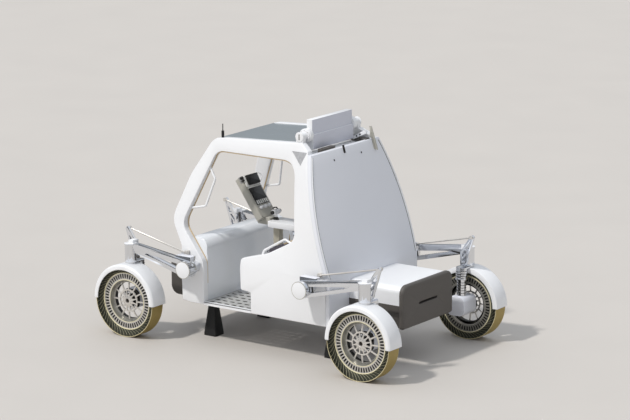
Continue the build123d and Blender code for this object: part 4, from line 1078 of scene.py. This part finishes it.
# %% [markdown]
# The seats are taken to be cloth over foam. A block with round edges is too stiff for that:
# on a real cushion the cloth is stretched between its seams, so that its faces crown and its
# sides pull in. So each block starts a little smaller than its place and is remeshed into
# even faces, and Blender's cloth simulation blows it up with the gravity off. No point may
# move further than the place allows. A piped seam runs round the edge where two panels of
# cloth meet.

# %% Padding
SWELL = 0.012
SLIM = 0.010
PAD_CORNER = 0.050
PAD_EDGE = 0.026
VOXEL = 0.008
CLOTH_STEPS = 20
PRESSURE = 4
PIPING = 0.004


def blown_up(piece):
    """Swell a piece as cloth under pressure, by no more than SWELL at any point."""
    remesh = piece.modifiers.new("even", "REMESH")
    remesh.mode = "VOXEL"
    remesh.voxel_size = VOXEL
    baked(piece)
    start = [vert.co.copy() for vert in piece.data.vertices]
    cloth = piece.modifiers.new("cloth", "CLOTH")
    cloth.settings.quality = 4
    cloth.settings.use_pressure = True
    cloth.settings.uniform_pressure_force = PRESSURE
    cloth.settings.effector_weights.gravity = 0
    cloth.point_cache.frame_end = CLOTH_STEPS
    for number in range(1, CLOTH_STEPS + 1):
        scene.frame_set(number)
    baked(piece)
    for vert, first in zip(piece.data.vertices, start):
        moved = vert.co - first
        if moved.length > SWELL:
            vert.co = first + moved.normalized() * SWELL
    scene.frame_set(1)


def pad(name, place, width, length, thick, seam_at):
    """A stuffed block: width along x, length along y, thickness up z from the frame."""
    shell = bmesh.new()
    raised = place @ Matrix.Translation((0, 0, SLIM / 2))
    prism(shell, raised, oblong(width - SLIM, length - SLIM, PAD_CORNER, 6), thick - SLIM)
    piece = piece_of(name, shell, [seat_cloth])
    rounded(piece, PAD_EDGE, 3)
    blown_up(piece)
    seam = bmesh.new()
    seam.from_mesh(piece.data)
    edge = oblong(width + 0.004, length + 0.004, PAD_CORNER, 6)
    tube(seam, [place @ Vector((x, y, seam_at)) for x, y in edge], PIPING, 0, 8, closed=True)
    seam.to_mesh(piece.data)
    seam.free()
    smooth(piece, 60)
    return ready(piece, "chassis")


print("padding swells by up to", SWELL * 1000, "mm")

# %% [markdown]
# There are two seats, side by side, each a cushion and a back that leans by 12 degrees. One
# seat could be copied to the other side, but a simulation is not a mirror image of itself,
# so each pad is blown up in its own place. The CAD model has all four pads as one node, for
# which the left cushion stands.

# %% Seats
SEAT_X = -0.188
SEAT_Y = 0.350
SEAT_TOP = 0.985
BACK_X = -0.478
BACK_HALF = 0.262
BACK_LEAN = math.radians(12)

back_up = Vector((-math.sin(BACK_LEAN), 0, math.cos(BACK_LEAN)))
back_out = (math.cos(BACK_LEAN), 0, math.sin(BACK_LEAN))
for name, side in (("left", 1), ("right", -1)):
    seat_at = Matrix.Translation((SEAT_X, side * SEAT_Y, SEAT_TOP))
    cushion = pad(f"seat_cushion_{name}", seat_at, 0.420, 0.424, 0.088, 0.046)
    back_foot = Vector((BACK_X, side * SEAT_Y, SEAT_TOP + 0.012))
    back_at = axes(back_foot + back_up * BACK_HALF, back_out, back_up)
    backrest = pad(f"seat_back_{name}", back_at, 0.505, 0.424, 0.074, 0.038)
    if side > 0:
        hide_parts("seats")
print("seat faces:", len(cushion.data.polygons), len(backrest.data.polygons))

# %% [markdown]
# A white bead with a thin dark joint beside it runs up each edge of the rear wall. The edge
# is curved. Its points could be typed in from a drawing, but would then miss the wall if its
# curve changed. So they are found by casting rays on the wall's own skin at even steps.

# %% Rear wall edges
WALL_FOOT = Vector((-0.963, 0, 0.900))
WALL_TOP = Vector((-0.602, 0, 2.127))
BEAD_STEPS = 24
# How far each line lies in from the side and off the wall, and its radius.
BEAD = (0.022, 0.019, 0.0085)
JOINT = (0.035, 0.0175, 0.0042)

wall_up = (WALL_TOP - WALL_FOOT).normalized()
wall_out = Vector((-wall_up.z, 0, wall_up.x))
skin = skin_of("rear_wall")
for name, side in (("left", 1), ("right", -1)):
    bead, joint = [], []
    for step in range(BEAD_STEPS + 1):
        share = 0.01 + 0.97 * step / BEAD_STEPS
        spot = WALL_FOOT + (WALL_TOP - WALL_FOOT) * share - wall_out * 0.020
        hit = skin.ray_cast(Vector((spot.x, side * 1.2, spot.z)), Vector((0, -side, 0)))[0]
        for line, (inset, off, _) in ((bead, BEAD), (joint, JOINT)):
            line.append(Vector((spot.x, hit.y - side * inset, spot.z)) + wall_out * off)
    trim = bmesh.new()
    tube(trim, bead, BEAD[2], 0, 10)
    tube(trim, joint, JOINT[2], 1, 8)
    ready(piece_of(f"wall_bead_{name}", trim, [white_paint, rubber_and_painted_shade]), "chassis")
print("bead from", round(bead[0].z, 2), "to", round(bead[-1].z, 2), "m high")

# %% [markdown]
# Three small dark pegs stand out along the top of the rear wall. A grey fin is folded over
# the wall's edge under the antenna, and two dark blocks pad the antenna's lower edge. They
# are plates and blocks with broken edges, so prisms are enough. The wall's frame has x to the
# left, y down the wall and z off it.

# %% Pegs, fin and blocks
PEGS = [
    ((0.042, 0.022), (0.022, 0.084), 0.012), ((0.245, 0.106), (0.008, 0.020), 0.010),
    ((-0.241, 0.106), (0.008, 0.020), 0.010),
]
FIN = [
    (-0.512, -0.126), (-0.494, -0.126), (-0.452, -0.030), (-0.474, -0.004), (-0.476, 0.110),
    (-0.524, 0.110), (-0.526, -0.030),
]
BLOCKS = [
    (Vector((-0.520, 0.220, 2.124)), (0.060, 0.240, 0.040)),
    (Vector((-0.480, -0.440, 2.120)), (0.200, 0.070, 0.036)),
]

antenna_parts = bmesh.new()
wall_frame = axes(WALL_TOP, wall_out, (0, 1, 0))
for (x, y), (width, height), deep in PEGS:
    at = wall_frame @ Matrix.Translation((x, y, 0))
    prism(antenna_parts, at, oblong(width, height, 0.002, 2), deep, 1)
prism(antenna_parts, wall_frame, FIN, 0.010, 3)
for middle, (long_x, long_y, thick) in BLOCKS:
    at = Matrix.Translation(middle - Vector((0, 0, thick / 2)))
    prism(antenna_parts, at, oblong(long_x, long_y, 0.010), thick, 2)
block_finishes = [white_paint, rubber_and_painted_shade, dark_case, console_grey]
piece = piece_of("antenna_blocks", antenna_parts, block_finishes, edge=0.002)
ready(piece, "chassis")
print("pegs:", len(PEGS), "blocks:", len(BLOCKS))

# %% [markdown]
# The roof antenna turns between two drums. Each drum has a domed cap with a slot on its
# outside and a bolted flange on its inside, and a drilled strut props the right one. Cutting
# the slot and the strut's holes would take booleans. They are shallow, so a thin black plate
# on the surface paints the shade in them: painted shade. The drums stay on the cab when the
# antenna tilts, so these fittings ride on the chassis.

# %% Antenna fittings
TILT = Vector((-0.391, 0, 2.285))
CAP_Y = 0.5145
FLANGE_Y = 0.424
BOLT_CIRCLE = 0.054
CAP = [(0, -0.004), (0.050, -0.004), (0.052, 0.002), (0.048, 0.007), (0, 0.009)]
FLANGE = [(0.043, -0.008), (0.062, -0.008), (0.064, 0), (0.062, 0.008), (0.043, 0.010)]
FLANGE_BOLT = [(0, 0), (0.0045, 0), (0.0040, 0.003), (0, 0.0035)]
FLANGE_BOLTS = 8
STRUT_FOOT = Vector((-0.420, -0.405, 2.128))
STRUT_ALONG = Vector((-0.165, 0, 0.088))
STRUT_THICK = 0.018
HOLE_RADIUS = 0.0105

caps = bmesh.new()
for side in (1, -1):
    outboard = axes(TILT + Vector((0, side * CAP_Y, 0)), (0, side, 0), (0, 0, 1))
    turned(caps, outboard, CAP, 0, 40, closed=False)
    # The slot is a thin black plate: painted shade.
    slot_at = outboard @ Matrix.Translation((0, 0, 0.0075))
    prism(caps, slot_at, oblong(0.060, 0.010, 0.004), 0.0025, 1)
    flange = axes(TILT + Vector((0, side * FLANGE_Y, 0)), (0, side, 0), (0, 0, 1))
    turned(caps, flange, FLANGE, 0, 48)
    for spot in circle(BOLT_CIRCLE, 0.008, FLANGE_BOLTS):
        turned(caps, flange @ Matrix.Translation(spot), FLANGE_BOLT, 2, 6, closed=False)
strut = axes(STRUT_FOOT, (0, 1, 0), STRUT_ALONG)
prism(caps, strut, [(0, -0.014), (0.187, -0.020), (0.187, 0.020), (0, 0.014)], STRUT_THICK, 0)
# Each hole of the strut is a thin black disc on both faces: painted shade.
hole = [(0, 0), (HOLE_RADIUS, 0), (HOLE_RADIUS, 0.0008), (0, 0.0008)]
for along in (0.060, 0.110):
    for low in (-0.0008, STRUT_THICK):
        turned(caps, strut @ Matrix.Translation((along, 0, low)), hole, 1, 16, closed=False)
piece = piece_of("antenna_fittings", caps, [white_paint, rubber_and_painted_shade, satin_metal], edge=0.0015)
ready(piece, "chassis")
print("antenna fittings:", len(piece.data.polygons), "faces")

# %% [markdown]
# At each corner a polished forked arm carries an upright, and the steered knuckle hangs from
# it with its fender and hub motor. They could be drawn anew with finer shapes, but their
# places and slots come from CAD, so they are the CAD nodes again, dressed. Zones give the arm's
# end cap and the upright's top cap their white paint, the gear housing and a part of the arm
# their pale grey, and the motor's face and the stub inside the wheel a dark painted shade.

# %% Running gear
CORNERS = {
    "front_left": (1, 1), "front_right": (1, -1), "rear_left": (-1, 1), "rear_right": (-1, -1)
}
AXLE_X = 1.51
arm_zones = [
    (white_paint, lambda c, n: abs(c.y) > 1.0375),
    (housing_paint, lambda c, n: c.z > 0.925 and 0.70 < abs(c.x) < 0.90 and n.z > -0.5),
]
upright_zones = [(white_paint, lambda c, n: c.z > 0.999 and abs(abs(c.x) - AXLE_X) < 0.05)]
knuckle_zones = [
    (housing_paint, lambda c, n: c.z < 0.512 and abs(c.y) < 0.9),
    # The motor's face and the stub inside the wheel are dark: painted shade.
    (painted_shade_dark, lambda c, n: c.z < 0.6 and abs(c.y) > 0.925),
]
for corner in CORNERS:
    dressed(f"fender_{corner}", white_paint, edge=0.003)
    dressed(f"arm_{corner}", polished, edge=0.003, clamped=True, zones=arm_zones)
    dressed(
        f"upright_{corner}", polished, edge=0.002, clamped=True, zones=upright_zones
    )
    dressed(
        f"knuckle_{corner}", polished,
        edge=0.004, steps=3, clamped=True, zones=knuckle_zones,
    )

# %% [markdown]
# The steered leg is ribbed like a bellows: polished rings with grooves between them, whose
# shade is painted dark. A ring of bolts sits on the hub motor's end. Bands of colour on a plain
# leg could stand for the rings, but each one catches its own line of light. So they are turned
# shells on the leg's axis. They ride on the steering body, so that they swing with the knuckle.

# %% Leg rings and motor bolts
LEG_Y = 0.823
MOTOR_Y = 0.9822
WHEEL_Z = 0.382
LEG_RINGS = [(0.520 + 0.028 * number, 0.0525) for number in range(6)]
LEG_RINGS += [(0.702 + 0.026 * number, 0.0625) for number in range(3)]
MOTOR_BOLTS = 16
MOTOR_BOLT = [(0, 0), (0.0042, 0), (0.0042, 0.002), (0, 0.003)]


def leg_rings(corner, side_x, side_y):
    """Rings round one steered leg, and the bolts on its motor."""
    leg = bmesh.new()
    column = Matrix.Translation((side_x * AXLE_X, side_y * LEG_Y, 0))
    for height, radius in LEG_RINGS:
        inner, groove = radius - 0.006, radius - 0.0018
        low, high = height - 0.006, height + 0.006
        ring = [(inner, low), (radius, low + 0.002), (radius, high - 0.002), (inner, high)]
        turned(leg, column, ring, 0, 36)
        # The groove under each ring is dark: painted shade.
        washer(leg, column, inner, groove, high, high + 0.004, 1, 36)
    motor = axes((side_x * AXLE_X, side_y * MOTOR_Y, WHEEL_Z), (0, side_y, 0))
    washer(leg, motor, 0.078, 0.092, 0, 0.0025)
    for spot in circle(0.085, 0.0025, MOTOR_BOLTS):
        turned(leg, motor @ Matrix.Translation(spot), MOTOR_BOLT, 2, 6, closed=False)
    piece = piece_of(f"leg_rings_{corner}", leg, [polished, painted_shade_dark, satin_metal])
    ready(piece, f"steering_{corner}")


print("leg rings:", len(LEG_RINGS), "motor bolts:", MOTOR_BOLTS)

# %% [markdown]
# On each arm a thin grey ring frames the white cap, two bolts hold the clevis on top, and a
# dark spring bracket stands between the fork's two limbs. They could be cut into the arm's
# solid, but they differ from it in finish, so they are small shells set on it. The bracket
# is two rods that meet as a T.

# %% Arm fittings
ARM_Z = 0.824
HUB_X = 0.750
CLEVIS_BOLT = [(0, 0), (0.006, 0), (0.006, 0.004), (0, 0.005)]
BOLT_X = 0.90
BOLT_Z = ARM_Z + 0.090 + (BOLT_X - 0.805) * 0.052


def arm_fittings(corner, side_x, side_y):
    """Cap ring, bolts and spring bracket of one arm."""
    arm = bmesh.new()
    cap = axes((side_x * HUB_X, side_y * 1.0330, ARM_Z), (0, side_y, 0))
    washer(arm, cap, 0.0865, 0.0925, 0, 0.0045, 1, 64)
    for offset in (-0.022, 0.022):
        at = axes((side_x * BOLT_X, side_y * (0.990 + offset), BOLT_Z), (-side_x * 0.05, 0, 1))
        turned(arm, at, CLEVIS_BOLT, 2, 6, closed=False)
    foot = Vector((side_x * 0.868, side_y * 0.957, 0.800))
    head = Vector((side_x * 0.858, side_y * 0.957, 0.884))
    tube(arm, [foot, head], 0.0085, 3, 10)
    near, far = Vector((side_x * -0.020, 0, 0.004)), Vector((side_x * 0.036, 0, -0.004))
    tube(arm, [foot + near, foot + far], 0.0075, 3, 10)
    finishes = [white_paint, console_grey, satin_metal, rubber_and_painted_shade]
    ready(piece_of(f"arm_fittings_{corner}", arm, finishes), "chassis")


for corner, (side_x, side_y) in CORNERS.items():
    leg_rings(corner, side_x, side_y)
    arm_fittings(corner, side_x, side_y)
print("corners fitted:", len(CORNERS))

# %% [markdown]
# The airless wheel has a gold band for tread, held off the metal wheel by two sets of thin
# dark leaves that lean opposite ways, as in a leaf spring. Their outer edges slope in to the
# metal wheel's face, which sits deeper than the tread's edge. A texture of stripes would be
# lighter, but the leaves are what the light falls through. So one leaf is drawn, bowed in its
# middle, and the tree repeats it. The tread's fine ribs, straight across it, are made the
# same way. Sizes are in metres from the axle, with z pointing outboard.

# %% Tread and leaves
TREAD_HALF = 0.0905
TREAD_INNER = 0.3745
TREAD_OUTER = 0.3795
RIB_FOOT = 0.379
RIB_TOP = 0.3818
RIBS = 160
LEAVES = 108
LEAF_ROOT = 0.3035
LEAF_LEAN = math.radians(15)
LEAF_BOW = 0.18
LEAF_THICK = 0.0026
SET_BACK = 0.040
SET_IN = 0.015

rib = bmesh.new()
section = [(RIB_FOOT, -0.0022), (RIB_TOP, -0.0014), (RIB_TOP, 0.0014), (RIB_FOOT, 0.0022)]
prism(rib, axes((0, 0, -TREAD_HALF), (0, 0, 1)), section, 2 * TREAD_HALF)
tread_ribs = spread(rib, ring_tree, tread_gold, Copies=RIBS)


def leaf(lean, low, high):
    """One leaf from the metal wheel to the tread, bowed in its middle."""
    shell = bmesh.new()
    line = []
    for step in range(4):
        rise = step / 3
        radius = LEAF_ROOT + rise * (TREAD_INNER + 0.001 - LEAF_ROOT)
        angle = lean * (rise + LEAF_BOW * math.sin(math.pi * rise))
        line.append(Vector((radius * math.cos(angle), radius * math.sin(angle))))
    outline = []
    for side in (1, -1):
        run = []
        for step, point in enumerate(line):
            ahead = line[min(step + 1, 3)] - line[max(step - 1, 0)]
            off = Vector((-ahead.y, ahead.x)).normalized() * LEAF_THICK / 2 * side
            run.append(tuple(point + off))
        outline += run[::side]
    prism(shell, axes((0, 0, low), (0, 0, 1)), outline, high - low)
    for vert in shell.verts:
        share = (TREAD_INNER - vert.co.xy.length) / (TREAD_INNER - LEAF_ROOT)
        if vert.co.z > 0.05:
            vert.co.z -= SET_BACK * share
        elif vert.co.z < -0.05:
            vert.co.z += SET_IN * share
    return shell


# The leaves' dark olive is partly painted shade.
outer_leaves = spread(leaf(LEAF_LEAN, 0.002, 0.086), ring_tree, leaf_olive_and_painted_shade, Copies=LEAVES)
inner_leaves = spread(leaf(-LEAF_LEAN, -0.086, -0.002), ring_tree, leaf_olive_and_painted_shade, Copies=LEAVES)
# Every second leaf has a pale edge.
outer_edges = spread(leaf(LEAF_LEAN, 0.0855, 0.0872), ring_tree, leaf_pale_edge, Copies=LEAVES // 2)
inner_edges = spread(leaf(-LEAF_LEAN, -0.0872, -0.0855), ring_tree, leaf_pale_edge, Copies=LEAVES // 2)
print("leaves:", 2 * LEAVES, "ribs:", RIBS)

# %% [markdown]
# The metal wheel has a slotted ring at each face. Its slots are real holes, with a dark ring
# behind them that paints the shade inside the wheel. As with the steps, cutting them would be
# slow. So one cell of the ring is drawn, a grid of four by four points with its middle left
# open, and the tree sets the cells side by side.

# %% Slotted ring
SLOTS = 54
SLOT_HALF = 0.0094 / 0.262
SLOT_RADII = (0.2310, 0.2450, 0.2940, 0.2985)
SLOT_RING = (0.0375, 0.0450)

cell_half = math.pi / SLOTS
angles = (-cell_half, -SLOT_HALF, SLOT_HALF, cell_half)
slot_cell = bmesh.new()
levels = []
for height in SLOT_RING:
    grid = []
    for radius in SLOT_RADII:
        spots = [(radius * math.cos(a), radius * math.sin(a), height) for a in angles]
        grid.append([slot_cell.verts.new(spot) for spot in spots])
    levels.append(grid)
for row in range(3):
    for column in range(3):
        if (row, column) != (1, 1):
            for grid in levels:
                near, far = grid[row], grid[row + 1]
                slot_cell.faces.new((near[column], near[column + 1], far[column + 1], far[column]))
low_grid, high_grid = levels
around = [(1, 1), (1, 2), (2, 2), (2, 1)]
for (row, column), (next_row, next_column) in zip(around, around[1:] + around[:1]):
    lower = (low_grid[row][column], low_grid[next_row][next_column])
    slot_cell.faces.new((*lower, high_grid[next_row][next_column], high_grid[row][column]))
for row in (0, 3):
    for column in range(3):
        lower = (low_grid[row][column], low_grid[row][column + 1])
        slot_cell.faces.new((*lower, high_grid[row][column + 1], high_grid[row][column]))
slotted = spread(slot_cell, ring_tree, wheel_metal, Copies=SLOTS)
print("slotted ring:", len(slotted.polygons), "faces")

# %% [markdown]
# Twelve spokes run from the bowl to a ring, and twelve petals run on from the ring to the
# raised hub. The petals swell at both ends, so that the gaps between them are drops. Plain
# boxes would leave straight gaps. So each is a bar of a few sections, copied round by the
# tree. The two rings of bolts are turned shells, copied in the same way.

# %% Spokes, petals and bolts
SPOKES = 12
PETALS = 12
HUB_BOLTS = 12
RIM_BOLTS = 24

spoke = bmesh.new()
bar(spoke, Matrix(), [
    (0.108, 0.0085, 0.018, 0.012), (0.16, 0.0070, 0.010, 0.011), (0.206, 0.0085, 0.002, 0.010),
])
spokes = spread(spoke, ring_tree, spoke_metal, Copies=SPOKES)
petal = bmesh.new()
bar(petal, Matrix.Rotation(math.tau / PETALS / 2, 4, "Z"), [
    (0.056, 0.0155, 0.0290, 0.010), (0.068, 0.0100, 0.0265, 0.010),
    (0.085, 0.0062, 0.0225, 0.009), (0.100, 0.0062, 0.0190, 0.009),
    (0.116, 0.0100, 0.0160, 0.008),
])
petals = spread(petal, ring_tree, spoke_metal, Copies=PETALS)
bolt = bmesh.new()
HUB_BOLT = [(0, -0.004), (0.0040, -0.004), (0.0040, 0.0025), (0.0030, 0.0035), (0, 0.0035)]
turned(bolt, axes((0.047, 0, 0.0310), (0.2, 0, 1)), HUB_BOLT, segments=6, closed=False)
hub_bolts = spread(bolt, ring_tree, satin_metal, Copies=HUB_BOLTS)
bolt = bmesh.new()
RIM_BOLT = [(0, -0.003), (0.0050, -0.003), (0.0050, 0.003), (0.0038, 0.004), (0, 0.004)]
turned(bolt, axes((0.2075, 0, 0.0045), (-0.3, 0, 1)), RIM_BOLT, segments=6, closed=False)
rim_bolts = spread(bolt, ring_tree, satin_metal, Copies=RIM_BOLTS)
print("spokes:", SPOKES, "petals:", PETALS, "bolts:", HUB_BOLTS + RIM_BOLTS)

# %% [markdown]
# The gold band and the leaves are thin metal, joined where they touch. They could be one
# mesh, but the sets are easier to change apart. So the band, its ribs and its two pale edges
# make one piece, and the leaves with the thin lining that they end on make another.

# %% Tread and leaves of a wheel
EDGE_Z = 0.0895
EDGE_RADIUS = 0.3776
EDGE_THICK = 0.0024
LEAF_LINING = (0.3735, 0.3750, -0.087, 0.087)


def tread_of(place):
    """The gold band with its ribs and its two pale edges."""
    band = bmesh.new()
    washer(band, place, TREAD_INNER, TREAD_OUTER, -TREAD_HALF, TREAD_HALF, 0, 120)
    merged(band, tread_ribs, place)
    for height in (-EDGE_Z, EDGE_Z):
        edge = [place @ spot for spot in circle(EDGE_RADIUS, height)]
        tube(band, edge, EDGE_THICK, 1, 6, closed=True)
    return band


def leaves_of(place):
    """Both sets of leaves and the thin lining that they end on."""
    leaves = bmesh.new()
    merged(leaves, outer_leaves, place)
    merged(leaves, inner_leaves, place)
    washer(leaves, place, *LEAF_LINING, 0, 96)
    merged(leaves, outer_edges, place, 1)
    merged(leaves, inner_edges, place, 1)
    return leaves


print("tread", 2 * TREAD_HALF, "m wide and", 2 * TREAD_OUTER, "m across")

# %% [markdown]
# The metal wheel looks like a casting with a face bolted in. It could be one turned profile,
# but the slots and spokes break it. So it gathers its parts from the outside in: the barrel,
# the two slotted rings with a dark ring behind each, the bowl that sinks from the ring to the
# spokes, a dark drum behind the spokes, the ring and hub, and the pale gold hoops that edge
# it. The dark rings and the drum are painted shade in the wheel's openings, and the bowl and
# the back slotted ring are drawn darker than the front ring as painted shade. All of them are
# closed shells that overlap a little, as welded parts do.

# %% Metal wheel
BARREL = (0.2975, 0.3040, -0.0750, 0.0455)
FACE_SHADE_RING = (0.2290, 0.2980, 0.0230, 0.0255)
BACK_SHADE_RING = (0.2290, 0.2980, -0.0540, -0.0515)
BACK_LIP = (0.2250, 0.2330, -0.0750, -0.0510)
INNER_SHADE = (0.1965, 0.2025, -0.0500, -0.0050)
BACK_RING_Z = -0.1195
BOWL = [
    (0.2290, 0.0455), (0.2240, 0.0440), (0.2180, 0.0280), (0.2120, 0.0120), (0.2050, 0.0020),
    (0.1960, 0.0000), (0.1960, -0.0060), (0.2080, -0.0040), (0.2160, 0.0080), (0.2230, 0.0260),
    (0.2290, 0.0400),
]
STAR_RING = [
    (0.1080, 0.0060), (0.1080, 0.0185), (0.1120, 0.0200), (0.1220, 0.0185), (0.1240, 0.0060)
]
HUB = [
    (0.0240, 0.0120), (0.0240, 0.0360), (0.0270, 0.0378), (0.0400, 0.0345), (0.0600, 0.0290),
    (0.0620, 0.0180),
]
BORE = [(0, 0.0160), (0.0245, 0.0160), (0.0245, 0.0120), (0, 0.0120)]
HOOPS = ((0.3060, 0.0480, 0.0045), (0.3060, -0.0770, 0.0045), (0.2300, 0.0440, 0.0035))
BLASTED, BRIGHT, BROWN, BOLTED, EDGED, SHADED, BOWL_SHADE = range(7)
wheel_finishes = [
    wheel_metal, spoke_metal, bore_painted_shade, satin_metal, edge_gold, painted_shade_dark, bowl_painted_shade
]


def metal_of(place):
    """The metal wheel."""
    metal = bmesh.new()
    washer(metal, place, *BARREL, BLASTED, 96)
    # The rings behind the slots and the drum behind the spokes are dark: painted shade.
    washer(metal, place, *FACE_SHADE_RING, SHADED, 72)
    # The back slotted ring and the bowl take the darker bowl copy: painted shade.
    merged(metal, slotted, place @ Matrix.Translation((0, 0, BACK_RING_Z)), BOWL_SHADE)
    washer(metal, place, *BACK_SHADE_RING, SHADED, 72)
    washer(metal, place, *BACK_LIP, BLASTED, 96)
    turned(metal, place, BOWL, BOWL_SHADE, 96)
    washer(metal, place, *INNER_SHADE, SHADED, 72)
    turned(metal, place, STAR_RING, BRIGHT, 72)
    turned(metal, place, HUB, BRIGHT, 60)
    # The brown plug at the bottom of the hub's bore is painted shade.
    turned(metal, place, BORE, BROWN, 32, closed=False)
    parts = {slotted: BLASTED, spokes: BRIGHT, petals: BRIGHT, hub_bolts: BOLTED, rim_bolts: BOLTED}
    for mesh, number in parts.items():
        merged(metal, mesh, place, number)
    for radius, height, thick in HOOPS:
        tube(metal, [place @ spot for spot in circle(radius, height)], thick, EDGED, 8, closed=True)
    return metal


print("bowl profile points:", len(BOWL))

# %% [markdown]
# The wheels are the same at all four corners, apart from which way is outboard. Four objects
# could share one mesh, but a piece has its place in its mesh, as a CAD node has. So the
# parts are placed anew at each corner. Each wheel rides on its own wheel body, so that it
# rolls on its axle and swings with the steering.

# %% Wheels in place
WHEEL_Y = 0.994
for corner, (side_x, side_y) in CORNERS.items():
    place = axes((side_x * AXLE_X, side_y * WHEEL_Y, WHEEL_Z), (0, side_y, 0))
    body = f"wheel_{corner}"
    tread = piece_of(f"tread_{corner}", tread_of(place), [tread_gold, edge_gold])
    ready(tread, body, [f"tyre_{corner}"])
    ready(piece_of(f"leaves_{corner}", leaves_of(place), [leaf_olive_and_painted_shade, leaf_pale_edge]), body)
    wheel = piece_of(f"wheel_metal_{corner}", metal_of(place), wheel_finishes)
    ready(wheel, body, [f"rim_{corner}"])
print("wheel triangles:", sum(len(face.vertices) - 2 for face in wheel.data.polygons))
